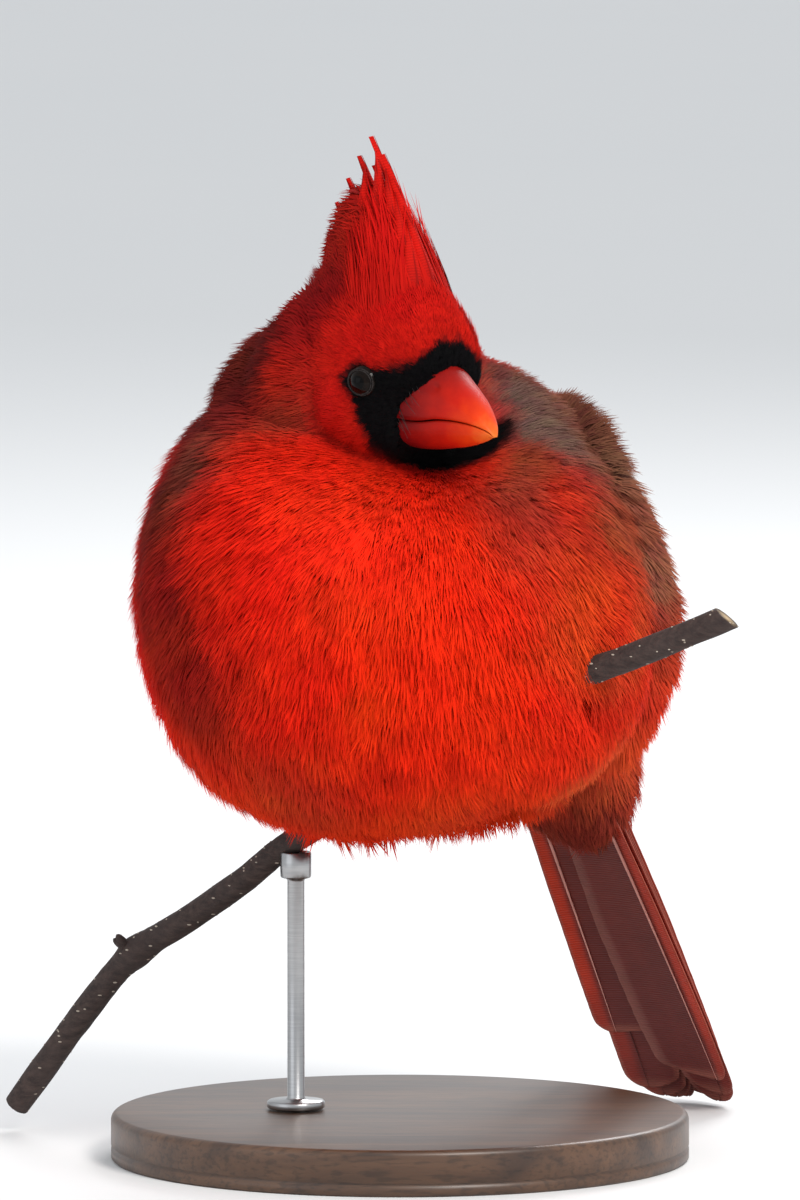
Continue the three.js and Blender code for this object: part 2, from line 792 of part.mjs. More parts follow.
// A toe with its claw, bent round the twig from the turn start to the turn end, in degrees from the front.
function toe({ point, along, up, front }, { shift, start, end, radius }) {
  const steps = 8;
  const points = Array.from({ length: steps }, (_, i) => {
    const share = i / (steps - 1);
    const turn = degToRad(lerp(start, end, share));
    const off = PERCH_RADIUS + GAP + radius + (share > 0.8 ? 0.1 : 0.15);
    return point
      .clone()
      .addScaledVector(along, shift * smoothstep(share, -0.1, 0.5))
      .addScaledVector(front, Math.cos(turn) * off)
      .addScaledVector(up, Math.sin(turn) * off);
  });
  const pads = (share) => radius * (1 + 0.09 * Math.cos(share * 22));
  const claw = (share) => lerp(radius * 0.8, 0.16, (share - 0.8) * 5);
  return tube(points, (share) => (share < 0.8 ? pads(share) : claw(share)), 7);
}

function legSolid(x, clear) {
  const frame = footFrame(x);
  const toes = [
    { shift: -FOOT.spread, start: 96, end: -78, radius: FOOT.toe },
    { shift: 0, start: 96, end: -98, radius: FOOT.toe },
    { shift: FOOT.spread, start: 96, end: -78, radius: FOOT.toe },
    { shift: 0, start: 84, end: 236, radius: FOOT.hind },
  ].map((one) => toe(frame, one));
  const { point, up, front } = frame;
  const ankle = point.clone().addScaledVector(up, PERCH_RADIUS + GAP + 1.3);
  const knee = ankle.clone().addScaledVector(up, FOOT.shankTop).addScaledVector(front, -3);
  const bones = Array.from({ length: 6 }, (_, i) => ankle.clone().lerp(knee, i / 5));
  const shank = tube(bones, (share) => FOOT.shank * (1.15 - 0.2 * Math.sin(Math.PI * share)), 8);
  return largest(union([...toes, shank]).subtract(perchSolid(GAP)).intersect(clear));
}

// Stand
function baseSolid() {
  const { radius, height, bevel } = BASE;
  const profile = [
    [0, 0],
    [radius - 0.4, 0],
    [radius, 0.4],
    [radius, height - bevel],
    [radius - bevel * 0.35, height - bevel * 0.35],
    [radius - bevel, height],
    [0, height],
  ].map(([r, z]) => new THREE.Vector2(r, z));
  return solidOf(new THREE.LatheGeometry(profile, 48).rotateX(Math.PI / 2));
}

function rodSolid() {
  const { point } = perchAt(ROD.x);
  const bottom = BASE.height + GAP;
  const cylinder = (radius, from, to) => {
    const height = to - from;
    const geometry = new THREE.CylinderGeometry(radius, radius, height, 20);
    const matrix = new THREE.Matrix4()
      .makeRotationX(Math.PI / 2)
      .setPosition(vec(point.x, point.y, (from + to) / 2));
    return solidOf(geometry, matrix);
  };
  return largest(
    union([
      cylinder(ROD.footRadius, bottom, bottom + ROD.footHeight),
      cylinder(ROD.radius, bottom, point.z - 1),
      cylinder(ROD.cupRadius, point.z - PERCH_RADIUS - ROD.cupHeight, point.z - 1.2),
    ]).subtract(perchSolid(GAP)),
  );
}

// Build
const perch = largest(
  perchSolid().trimByPlane(PERCH_CUT.facing.toArray(), PERCH_CUT.facing.dot(PERCH_CUT.at)),
);
const perchClear = perchSolid(GAP);
const toBody = (solid) => moved(solid, worldToBody);

const torsoWhole = ball(torsoRadius, BODY.columns, BODY.rows);
const torsoClear = ball(torsoRadius, BODY.columns, BODY.rows, GAP);
const neckWhole = ball(neckRadius, NECK.columns, NECK.rows);
const neckClear = ball(neckRadius, NECK.columns, NECK.rows, GAP);
const ruff = (extra) => {
  const { centre, radius, columns, rows } = RUFF;
  return moved(ball(() => radius, columns, rows, extra), new THREE.Matrix4().setPosition(centre));
};
const headWhole = ball(headRadius, HEAD.columns, HEAD.rows);
const headClear = ball(headRadius, HEAD.columns, HEAD.rows, GAP);

const rump = solidOf(
  new THREE.SphereGeometry(1, 20, 12)
    .scale(RUMP.halfWidth, RUMP.halfDepth, RUMP.halfLength)
    .translate(0, 0, RUMP.centreZ),
);
const torso = largest(
  union([torsoWhole, moved(union([rump, ...tailCoverts()]), tailMatrix)])
    .subtract(moved(tailSocket(), tailMatrix))
    .subtract(toBody(skirtSolid()))
    .subtract(toBody(perchClear))
    .subtract(moved(headClear, headToBody)),
);
const neck = largest(
  moved(neckWhole, neckToBody)
    .add(toBody(ruff(0)))
    .subtract(torsoClear)
    .subtract(moved(headClear, headToBody)),
);
const billUpper = largest(
  upperBill().subtract(headClear).subtract(nostril(1)).subtract(nostril(-1)),
);
const billLower = largest(lowerBill().subtract(headClear));
const head = largest(
  union([
    headWhole.subtract(eyeSolid(1, GAP)).subtract(eyeSolid(-1, GAP)),
    ...[lidSolid(1), lidSolid(-1), crestCore(), ...crestSolids()].map((piece) =>
      piece
        .subtract(moved(torsoClear, bodyToHead))
        .subtract(moved(neckClear, neckToHead))
        .subtract(moved(ruff(GAP), worldToHead)),
    ),
  ])
    .subtract(eyeSolid(1, GAP))
    .subtract(eyeSolid(-1, GAP)),
);
const skirtClear = skirtSolid(GAP);

// Each node with its place in the scene and its colour, roughness and metalness.
const looks = {
  breast: [0xd8301a, 0.75, 0],
  collar: [0xc02a1c, 0.75, 0],
  face: [0xb8241a, 0.75, 0],
  wing: [0x8a4a3c, 0.7, 0],
  tail: [0x7a3530, 0.6, 0],
  bill: [0xd9401f, 0.35, 0],
  eye: [0x120c0a, 0.08, 0],
  leg: [0x5a3a34, 0.6, 0],
  bark: [0x4a403a, 0.8, 0],
  base: [0x3a2a1e, 0.45, 0],
  rod: [0x9a9ca0, 0.3, 1],
};

function meshOf(name, solid, look) {
  const { vertProperties, triVerts, numProp } = solid.getMesh();
  const positions = new Float32Array((vertProperties.length / numProp) * 3);
  for (let i = 0; i < positions.length / 3; i++)
    positions.set(vertProperties.subarray(i * numProp, i * numProp + 3), i * 3);
  const geometry = new THREE.BufferGeometry();
  geometry.setAttribute("position", new THREE.BufferAttribute(positions, 3));
  geometry.setIndex(new THREE.BufferAttribute(triVerts, 1));
  geometry.computeVertexNormals();
  const [color, roughness, metalness] = looks[look];
  const material = new THREE.MeshStandardMaterial({ color, roughness, metalness });
  const mesh = new THREE.Mesh(geometry, material);
  mesh.name = name;
  return mesh;
}

function groupAt(matrix, meshes) {
  const group = new THREE.Group();
  group.applyMatrix4(matrix);
  group.add(...meshes);
  return group;
}

const tail = groupAt(tailMatrix, [meshOf("tail", tailSolid(), "tail")]);
const body = groupAt(bodyMatrix, [
  meshOf("torso", torso, "breast"),
  meshOf("neck", neck, "collar"),
  meshOf("wing_left", wingSolid(1), "wing"),
  meshOf("wing_right", wingSolid(-1), "wing"),
  tail,
]);
const face = groupAt(headMatrix, [
  meshOf("head", head, "face"),
  meshOf("bill_upper", billUpper, "bill"),
  meshOf("bill_lower", billLower, "bill"),
  meshOf("eye_left", eyeSolid(1), "eye"),
  meshOf("eye_right", eyeSolid(-1), "eye"),
]);

const cardinal = new THREE.Group();
cardinal.add(
  body,
  face,
  meshOf("leg_left", legSolid(11, skirtClear), "leg"),
  meshOf("leg_right", legSolid(-9, skirtClear), "leg"),
  meshOf("perch", perch, "bark"),
  meshOf("stand_base", baseSolid(), "base"),
  meshOf("stand_rod", rodSolid(), "rod"),
);

export default cardinal;
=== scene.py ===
# %% [markdown]
# # A northern cardinal, fluffed up against the cold
# The bird is a ball of loose feathers on a thin twig, with a raised crest, a black face and a heavy
# orange bill. We take its solids from the frame, lay one smooth skin inside them, and grow thin
# feathers on it that follow the lie of the real plumage. Sizes are in millimetres, as a maker would
# measure them, and become metres when a mesh is made.

import json

import bmesh
import bpy
import numpy as np
from mathutils import Matrix, Vector, noise

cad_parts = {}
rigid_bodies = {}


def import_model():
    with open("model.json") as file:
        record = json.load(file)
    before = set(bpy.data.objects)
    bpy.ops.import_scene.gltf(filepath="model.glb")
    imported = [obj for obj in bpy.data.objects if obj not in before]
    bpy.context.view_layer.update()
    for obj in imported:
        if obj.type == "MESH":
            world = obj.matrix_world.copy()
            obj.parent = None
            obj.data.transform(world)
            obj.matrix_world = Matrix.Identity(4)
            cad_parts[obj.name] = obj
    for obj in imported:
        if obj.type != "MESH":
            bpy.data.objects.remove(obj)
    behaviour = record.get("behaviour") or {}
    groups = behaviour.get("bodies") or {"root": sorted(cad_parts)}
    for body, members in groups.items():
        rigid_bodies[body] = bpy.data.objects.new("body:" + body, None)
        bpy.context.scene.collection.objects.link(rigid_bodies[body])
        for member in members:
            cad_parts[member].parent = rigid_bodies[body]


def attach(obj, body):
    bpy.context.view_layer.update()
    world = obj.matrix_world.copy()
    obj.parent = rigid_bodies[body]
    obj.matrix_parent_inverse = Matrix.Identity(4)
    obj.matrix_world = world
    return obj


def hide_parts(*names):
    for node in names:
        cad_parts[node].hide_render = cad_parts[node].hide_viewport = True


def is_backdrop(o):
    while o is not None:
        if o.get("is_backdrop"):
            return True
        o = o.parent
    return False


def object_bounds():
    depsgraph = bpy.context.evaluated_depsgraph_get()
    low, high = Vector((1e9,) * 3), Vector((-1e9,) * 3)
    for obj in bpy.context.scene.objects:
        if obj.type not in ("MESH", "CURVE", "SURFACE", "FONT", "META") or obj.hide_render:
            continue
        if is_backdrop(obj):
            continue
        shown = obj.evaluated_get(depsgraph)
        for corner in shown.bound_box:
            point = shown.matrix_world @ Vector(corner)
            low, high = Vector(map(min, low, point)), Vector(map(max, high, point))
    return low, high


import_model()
cad_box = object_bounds()
MM = 0.001

# %% [markdown]
# ## Camera
# The photograph was taken from far off with a long lens, nearly level with the bird. A camera three
# metres away keeps that flat look. The lens follows from the height of the frame at the bird.

# %% Camera
FRAME_HEIGHT = 206.9  # of the whole picture at the bird, in millimetres
AIM = Vector((0, 0, 97)) * MM
CAMERA_DISTANCE = 3.0
CAMERA_RISE = np.radians(6)
SENSOR = 36

camera_data = bpy.data.cameras.new("camera")
camera_data.sensor_width = SENSOR
camera_data.lens = SENSOR * CAMERA_DISTANCE / (FRAME_HEIGHT * MM)
camera = bpy.data.objects.new("camera", camera_data)
camera.location = AIM + CAMERA_DISTANCE * Vector((0, -np.cos(CAMERA_RISE), np.sin(CAMERA_RISE)))
camera.rotation_euler = (AIM - camera.location).to_track_quat("-Z", "Y").to_euler()
bpy.context.collection.objects.link(camera)
bpy.context.scene.camera = camera
print("lens", round(camera_data.lens), "mm")

# %% [markdown]
# ## Light, floor and colour view
# Soft studio light: a large key from the upper right, where the sun stands in the photograph, a weak
# fill and a rim from behind. The plain view keeps a strong red as it is; a filmic one would pale it.

# %% Light and floor
bpy.context.scene.view_settings.view_transform = "Standard"


def area_light(name, place, size, power, colour=(1, 1, 1)):
    data = bpy.data.lights.new(name, "AREA")
    data.size = size
    data.energy = power
    data.color = colour
    light = bpy.data.objects.new(name, data)
    light.location = place
    light.rotation_euler = (AIM - Vector(place)).to_track_quat("-Z", "Y").to_euler()
    bpy.context.collection.objects.link(light)


area_light("key", (0.45, -0.75, 0.85), 0.35, 9.5, (1, 0.965, 0.92))
area_light("fill", (-0.9, -0.7, 0.35), 0.9, 1.8, (0.92, 0.96, 1))
area_light("rim", (0.3, 0.9, 0.8), 0.5, 6)

world = bpy.data.worlds.new("studio")
world.use_nodes = True
world.node_tree.nodes["Background"].inputs["Color"].default_value = (0.9, 0.93, 0.96, 1)
world.node_tree.nodes["Background"].inputs["Strength"].default_value = 0.85
bpy.context.scene.world = world

# %% [markdown]
# ## Helpers for materials and meshes
# A small function that makes a shader or geometry node and links its inputs keeps every tree short
# and readable, and a few more make the patterns, ramps and bumps that most finishes share. Meshes come
# from arrays of points, because a feather is a formula.


# %% Helpers
def node(tree, kind, inputs=None, **settings):
    """A new node: inputs maps a socket's name or number to a value or to the output that feeds it."""
    made = tree.nodes.new(kind)
    for key, value in settings.items():
        setattr(made, key, value)
    for key, value in (inputs or {}).items():
        if isinstance(value, bpy.types.NodeSocket):
            tree.links.new(value, made.inputs[key])
        else:
            made.inputs[key].default_value = value
    return made


def material(name, roughness, **settings):
    made = bpy.data.materials.new(name)
    made.use_nodes = True
    shader = made.node_tree.nodes["Principled BSDF"]
    shader.inputs["Roughness"].default_value = roughness
    for key, value in settings.items():
        shader.inputs[key.replace("_", " ")].default_value = value
    return made, made.node_tree, shader


def linear(red, green, blue):
    """A colour as it looks on screen, 0 to 255, as the linear value that a shader takes."""
    value = np.array([red, green, blue]) / 255
    return np.where(value < 0.04045, value / 12.92, ((value + 0.055) / 1.055) ** 2.4)


def rgba(colour):
    return (*[float(c) for c in colour], 1.0)


NOISE, CELLS = "ShaderNodeTexNoise", "ShaderNodeTexVoronoi"


def texture(tree, kind, stretch=None, **values):
    """A pattern in the piece's own space, as the output that carries its grey value."""
    place = node(tree, "ShaderNodeTexCoord").outputs["Object"]
    if stretch:
        place = node(tree, "ShaderNodeMapping", {"Vector": place, **stretch}).outputs[0]
    return node(tree, kind, {"Vector": place, **values}).outputs[0]


def stored_value(tree, name, output="Fac"):
    return node(tree, "ShaderNodeAttribute", attribute_name=name).outputs[output]


def remap(tree, value, low, high, start=0.0, end=1.0):
    """Turns start to end into low to high, and stops at both."""
    limits = {"From Min": start, "From Max": end, "To Min": low, "To Max": high}
    return node(tree, "ShaderNodeMapRange", {"Value": value, **limits}).outputs[0]


def product(tree, one, other):
    return node(tree, "ShaderNodeMath", {0: one, 1: other}, operation="MULTIPLY").outputs[0]


def scaled(tree, vector, factor):
    made = node(tree, "ShaderNodeVectorMath", {0: vector, "Scale": factor}, operation="SCALE")
    return made.outputs[0]


def mixed(tree, amount, one, other):
    return node(tree, "ShaderNodeMix", {0: amount, 6: one, 7: other}, data_type="RGBA").outputs[2]


def ramp(tree, value, first, last, *between):
    """A run of colours along a value; each stop is a position and a colour."""
    made = node(tree, "ShaderNodeValToRGB", {"Fac": value})
    stops = made.color_ramp.elements
    stops[0].position, stops[0].color = first
    stops[1].position, stops[1].color = last
    for position, colour in between:
        stops.new(position).color = colour
    return made.outputs["Color"]


def coloured(tree, shader, colour, height=None, relief=None):
    """Links a colour to the shader, and a height with its relief: a bump's strength and distance."""
    tree.links.new(colour, shader.inputs["Base Color"])
    if relief:
        limits = {"Strength": relief[0], "Distance": relief[1]}
        bump = node(tree, "ShaderNodeBump", {"Height": height, **limits})
        tree.links.new(bump.outputs[0], shader.inputs["Normal"])


def grained(name, roughness, pattern, first, last, relief=None, **settings):
    """A whole finish whose colour, and relief if any, follow one fine pattern."""
    made, tree, shader = material(name, roughness, **settings)
    grain = texture(tree, **pattern)
    coloured(tree, shader, ramp(tree, grain, (0, first), (1, last)), grain, relief)
    return made


def mesh_object(name, points, faces, surface=None):
    """A smooth mesh piece from points in millimetres."""
    mesh = bpy.data.meshes.new(name)
    mesh.from_pydata((np.asarray(points) * MM).tolist(), [], faces)
    mesh.shade_smooth()
    piece = bpy.data.objects.new(name, mesh)
    bpy.context.collection.objects.link(piece)
    if surface:
        mesh.materials.append(surface)
    return piece


def unit(vectors):
    return vectors / np.maximum(np.linalg.norm(vectors, axis=-1, keepdims=True), 1e-9)


def smooth(value, low, high):
    """0 below low, 1 above high, and a soft step between them."""
    t = np.clip((value - low) / (high - low), 0, 1)
    return t * t * (3 - 2 * t)


def ripple(points, wave, seed):
    """Soft noise from -1 to 1, with a hill about every wave millimetres."""
    return np.array([noise.noise(Vector(p) / wave + Vector((seed, seed, 0))) for p in points]) * 1.6


def circle(count):
    """The cosines and sines of angles spread evenly round a circle."""
    turn = np.linspace(0, 2 * np.pi, count, endpoint=False)
    return np.cos(turn), np.sin(turn)


def level_ring(count, half_x, half_y, middle):
    cosine, sine = circle(count)
    return np.stack([half_x * cosine, half_y * sine, np.zeros(count)], axis=1) + middle


def read(items, name, kind=float, width=1):
    """One property of all items, as an array."""
    values = np.empty(len(items) * width, kind)
    items.foreach_get(name, values)
    return values.reshape(-1, width) if width > 1 else values


def fixed(piece):
    """Applies a piece's modifiers, so that only its finished mesh is left."""
    graph = bpy.context.evaluated_depsgraph_get()
    mesh = bpy.data.meshes.new_from_object(piece.evaluated_get(graph))
    piece.modifiers.clear()
    piece.data = mesh


FLOOR_HALF = 4000
floor_corners = [(x * FLOOR_HALF, y * FLOOR_HALF, 0) for x, y in ((-1, -1), (1, -1), (1, 1), (-1, 1))]
floor_paint, floor_tree, floor_shader = material("pale floor", 0.85)
floor_grain = node(floor_tree, NOISE, {"Scale": 30.0, "Detail": 3.0}).outputs["Fac"]
floor_colour = mixed(floor_tree, floor_grain, (0.78, 0.785, 0.79, 1), (0.8, 0.8, 0.8, 1))
coloured(floor_tree, floor_shader, floor_colour)
floor = mesh_object("floor", floor_corners, [(0, 1, 2, 3)], floor_paint)
floor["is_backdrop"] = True
print("floor side:", 2 * FLOOR_HALF / 1000, "m")

# %% [markdown]
# ## The bird's round forms
# A fluffed bird is round: torso, neck and head are balls whose radius swells and dips with direction.
# Each has its own frame, with -y forward, +x to the bird's left and +z up. The same numbers shape the
# solids, so what we build here fits them.


# %% Frames and forms
def turned(yaw, pitch, centre):
    turn = Matrix.Rotation(np.radians(yaw), 3, "Z") @ Matrix.Rotation(np.radians(pitch), 3, "X")
    return np.array(turn), np.array(centre, float)


BODY = turned(-36, 0, (0.4, 0, 98.5))
NECK = turned(-36, 0, (-6.4, 0.5, 126.5))
HEAD = turned(38, 11, (0.3, -21, 138.3))


def to_world(points, place):
    turn, centre = place
    return points @ turn.T + centre


def to_local(points, place):
    turn, centre = place
    return (points - centre) @ turn


def direction(azimuth, elevation):
    """0 points to the bird's left side, 90 to its back."""
    a, e = np.radians(azimuth), np.radians(elevation)
    return np.array([np.cos(e) * np.cos(a), np.cos(e) * np.sin(a), np.sin(e)])


def ellipsoid(x, y, z):
    return lambda way: 1 / np.sqrt(((way / (x, y, z)) ** 2).sum(-1))


def lobed(shape, lobes):
    """A form with soft swellings and dents: (azimuth, elevation, rise, spread, on both sides)."""

    def radius(way):
        total = shape(way)
        for azimuth, elevation, rise, spread, both in lobes:
            at = direction(azimuth, elevation)
            for side in (1, -1) if both else (1,):
                angle = np.degrees(np.arccos(np.clip(way @ (at * (side, 1, 1)), -1, 1)))
                total = total + rise * np.exp(-((angle / spread) ** 2))
        return total

    return radius


torso_radius = lobed(
    ellipsoid(45.3, 45.3, 45.3),
    [
        (-90, -8, 1.5, 45, False),
        (2, -24, 2.2, 24, True),
        (-6, 24, 1.2, 20, True),
        (50, 14, -6.4, 32, True),
        (90, 62, -2, 30, False),
        (0, -90, -4.6, 34, False),
        (-140, -46, 2, 22, False),
        (-90, -62, 1.4, 16, False),
        (-47, 53, -10, 27, False),
    ],
)
neck_radius = lobed(ellipsoid(25, 24, 22.8), [(-150, 8, 1.2, 30, False), (150, 52, -1.4, 34, False)])
head_radius = lobed(
    ellipsoid(12.9, 15, 15.6),
    [(90, 38, 8.2, 36, False), (12, -30, 1.8, 26, True), (-56, -14, -1.5, 18, True)],
)
print("the head's middle:", HEAD[1].tolist(), "mm")

# %% [markdown]
# ## The twig's line
# The perch comes first, because the belly parts round it. One smooth line through a few given
# points carries the bark, the feet and the opening in the feathers where the feet reach the twig.

# %% Twig line
TWIG_RADIUS = 2.25
TWIG_POINTS = np.array(
    [
        (-67, 35.7, 4.4),
        (-55.2, 27.7, 21.6),
        (-46.7, 22, 32.4),
        (-36.6, 15.2, 39.8),
        (-27.4, 9, 47),
        (-20.5, 4.3, 53.2),
        (-5.2, -6, 63.8),
        (17.2, -21.1, 78.1),
        (32.8, -31.6, 88.1),
        (39.1, -35.9, 90.9),
        (56.6, -47.7, 99.4),
    ]
)


def smooth_path(points, count):
    """A smooth line through points, at count places evenly spread along it."""
    ends = [2 * points[0] - points[1], *points, 2 * points[-1] - points[-2]]
    line = []
    for a, b, c, d in zip(ends, ends[1:], ends[2:], ends[3:]):
        knots = np.cumsum([0] + [np.linalg.norm(q - p) ** 0.5 for p, q in ((a, b), (b, c), (c, d))])
        t0, t1, t2, t3 = knots
        for t in np.linspace(t1, t2, 24, endpoint=False):
            ab = ((t1 - t) * a + (t - t0) * b) / (t1 - t0)
            bc = ((t2 - t) * b + (t - t1) * c) / (t2 - t1)
            cd = ((t3 - t) * c + (t - t2) * d) / (t3 - t2)
            abc = ((t2 - t) * ab + (t - t0) * bc) / (t2 - t0)
            bcd = ((t3 - t) * bc + (t - t1) * cd) / (t3 - t1)
            line.append(((t2 - t) * abc + (t - t1) * bcd) / (t2 - t1))
    line = np.array([*line, points[-1]])
    run = np.concatenate([[0], np.cumsum(np.linalg.norm(np.diff(line, axis=0), axis=1))])
    at = np.linspace(0, run[-1], count)
    return np.stack([np.interp(at, run, line[:, axis]) for axis in range(line.shape[1])], axis=1)


twig_line = smooth_path(TWIG_POINTS, 260)
twig_ways = unit(np.gradient(twig_line, axis=0))


def twig_at(x):
    """The twig's middle and direction above a given x."""
    place = np.array([np.interp(x, twig_line[:, 0], twig_line[:, axis]) for axis in range(3)])
    way = np.array([np.interp(x, twig_line[:, 0], twig_ways[:, axis]) for axis in range(3)])
    return place, unit(way)


def loft(rings):
    """Faces through rings of equally many points, with a fan over each end, and the points."""
    around = len(rings[0])
    points = [p for ring in rings for p in ring]
    faces = []
    for ring in range(len(rings) - 1):
        for i in range(around):
            a, b = ring * around + i, ring * around + (i + 1) % around
            faces.append((a, b, b + around, a + around))
    last = (len(rings) - 1) * around
    points += [np.mean(rings[0], axis=0), np.mean(rings[-1], axis=0)]
    for i in range(around):
        following = (i + 1) % around
        faces.append((following, i, len(points) - 2))
        faces.append((last + i, last + following, len(points) - 1))
    return points, faces


print("places along the twig:", len(twig_line))

# %% [markdown]
# ## The wings' own surface
# A folded wing lies on the flank like a shingled roof. Its feathers are laid out in the wing's own
# coordinates: along from the shoulder to the tip, across towards the spine, and height over the
# body.

# %% Wing coordinates
WING = {
    "shoulder": direction(26, 34),
    "tip": direction(54, -36),
    "surface": 45,
    "standoff": 6.5,
    "length": 66,
}
wing_down = unit(WING["tip"] - WING["shoulder"] * (WING["tip"] @ WING["shoulder"]))
wing_in = unit(np.cross(WING["shoulder"], wing_down))
wing_in = wing_in * np.sign(wing_in[1])


def wing_points(along, across, height):
    """Places over the left flank, in the body's frame."""
    a = (np.asarray(along) / WING["surface"])[..., None]
    b = (np.asarray(across) / WING["surface"])[..., None]
    way = (WING["shoulder"] * np.cos(a) + wing_down * np.sin(a)) * np.cos(b) + wing_in * np.sin(b)
    share = np.clip(np.asarray(along) / WING["length"], 0, 1.1)
    under = np.maximum(torso_radius(way), torso_radius(way * (-1, 1, 1))) + 0.25
    lift = 0.5 + WING["standoff"] * share**2.2
    return way * (under + lift + height)[..., None]


def wing_place(points, side):
    """The reverse: along and across for points in the body's frame."""
    way = unit(points * (side, 1, 1))
    across = np.arcsin(np.clip(way @ wing_in, -1, 1)) * WING["surface"]
    along = np.arctan2(way @ wing_down, way @ WING["shoulder"]) * WING["surface"]
    return along, across


print("wing length:", WING["length"], "mm")

# %% [markdown]
# ## One skin
# Under the feathers there is one skin. We fuse the balls, the ruff, the pads of the nape and the wings'
# arms, the crest's core, the flanks' ridges and the root of the tail by a voxel remesh, cut the opening
# for the feet, and remesh and smooth again, so that no seam shows. It lies inside the solids by the
# depth of the coat, which is thick on the body and thin on the face.

# %% Skin
COAT_DEPTH = {"torso": 2.7, "neck": 2.6, "head": 0.9}
TAIL_ROOT = (1.5, 40, -23)
TAIL_SLOPE = 56.6
RUMP_HALVES = np.array([14.2, 11.8, 25])
RUMP_MIDDLE = np.array([0, 0, -4])
SKIRT = {"from": -30, "to": 15, "half": 6.6, "above": 8, "below": 34, "lean": (0.15, 0.5, -0.85)}
TAIL_COAT = 2.5  # of feathers over the rump
SKIN_VOXELS = (1.1, 0.9)  # of the first and the second remesh

tail_turn = np.array(Matrix.Rotation(np.radians(90 - TAIL_SLOPE), 3, "X"))
TAIL = (BODY[0] @ tail_turn, to_world(np.array([TAIL_ROOT], float), BODY)[0])


def unit_ball():
    form = bmesh.new()
    bmesh.ops.create_icosphere(form, subdivisions=5, radius=1)
    points = unit(np.array([v.co[:] for v in form.verts]))
    faces = [[v.index for v in f.verts] for f in form.faces]
    form.free()
    return points, faces


RUFF = ((-8, -9, 133.5), 17.8)
CREST_CORE = [
    # height, how far back its middle lies, half width, half length
    (2, 4, 10.5, 12.6),
    (11, 6.6, 8, 12.8),
    (18.5, 9.2, 4.8, 10),
    (24, 11, 2.5, 5),
    (28.5, 12.6, 1.3, 2.4),
]
NAPE_PAD = ((-9, -11, 142.5), 9.3)
CORE_INSET = 0.7
ARM_PAD = {"along": (-8, 14), "across": (-5, 32), "height": 1.3}
FLANK_RIDGE = {"across": -6, "along": (0, 59), "radius": 4.6, "sink": 2.9}


def crest_core():
    """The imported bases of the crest's feathers."""
    rings = []
    for up, back, half_width, half_length in CREST_CORE:
        ring = level_ring(24, half_width - CORE_INSET, half_length - CORE_INSET, (0, back, up))
        rings.append(to_world(ring, HEAD))
    return loft(rings)


def arm_pad(side):
    """The wing's arm, a low swelling that the shoulder feathers grow from, over the coverts' roots."""
    (low, high), (outer, inner) = ARM_PAD["along"], ARM_PAD["across"]
    cosine, sine = circle(24)
    rings = []
    for along in np.linspace(low, high, 9):
        arch = np.sin(np.pi * (along - low) / (high - low))
        across = (outer + inner) / 2 + (inner - outer) / 2 * cosine * (0.55 + 0.45 * arch)
        top = ARM_PAD["height"] * arch**0.6
        height = np.where(sine > 0, top * np.abs(sine) ** 0.7, -3)
        ring = wing_points(np.full(24, along), across, height - 1)
        rings.append(to_world(ring * (side, 1, 1), BODY))
    return loft(rings)


def flank_ridge(side):
    """The swelling along the wing's front edge, whose long feathers lie over it."""
    low, high = FLANK_RIDGE["along"]
    cosine, sine = circle(20)
    rings = []
    for along in np.linspace(low, high, 15):
        share = (along - low) / (high - low)
        radius = FLANK_RIDGE["radius"] * np.sin(np.pi * (0.06 + 0.88 * share)) ** 0.6
        across = FLANK_RIDGE["across"] + radius * 1.5 * cosine
        height = radius * sine - FLANK_RIDGE["sink"] - 0.5 * WING["standoff"] * share**2.2
        ring = wing_points(np.full(20, along), across, height)
        rings.append(to_world(ring * (side, 1, 1), BODY))
    return loft(rings)


def shells():
    ball, ball_faces = unit_ball()
    for radius, place, inset in (
        (torso_radius, BODY, COAT_DEPTH["torso"]),
        (neck_radius, NECK, COAT_DEPTH["neck"]),
        (head_radius, HEAD, COAT_DEPTH["head"]),
    ):
        yield to_world(ball * (radius(ball) - inset)[:, None], place), ball_faces
    yield to_world(ball * (RUMP_HALVES - TAIL_COAT) + RUMP_MIDDLE, TAIL), ball_faces
    yield ball * (RUFF[1] - COAT_DEPTH["neck"]) + RUFF[0], ball_faces
    yield ball * NAPE_PAD[1] + NAPE_PAD[0], ball_faces
    yield crest_core()
    for side in (1, -1):
        yield arm_pad(side)
        yield flank_ridge(side)


def skirt_shell():
    """The opening under the belly, where the feathers part over the feet."""
    half, above, below = SKIRT["half"], SKIRT["above"], SKIRT["below"]
    lean = np.array(SKIRT["lean"])
    rings = []
    for x in np.linspace(SKIRT["from"], SKIRT["to"], 9):
        place, along = twig_at(x)
        down = unit(lean - along * (lean @ along))
        across = np.cross(along, down)
        corners = [
            (-half / 2, -above),
            (-half, 3 - above),
            (-half, below),
            (half, below),
            (half, 3 - above),
            (half / 2, -above),
        ]
        rings.append([place + side * across + drop * down for side, drop in corners])
    return loft(rings)


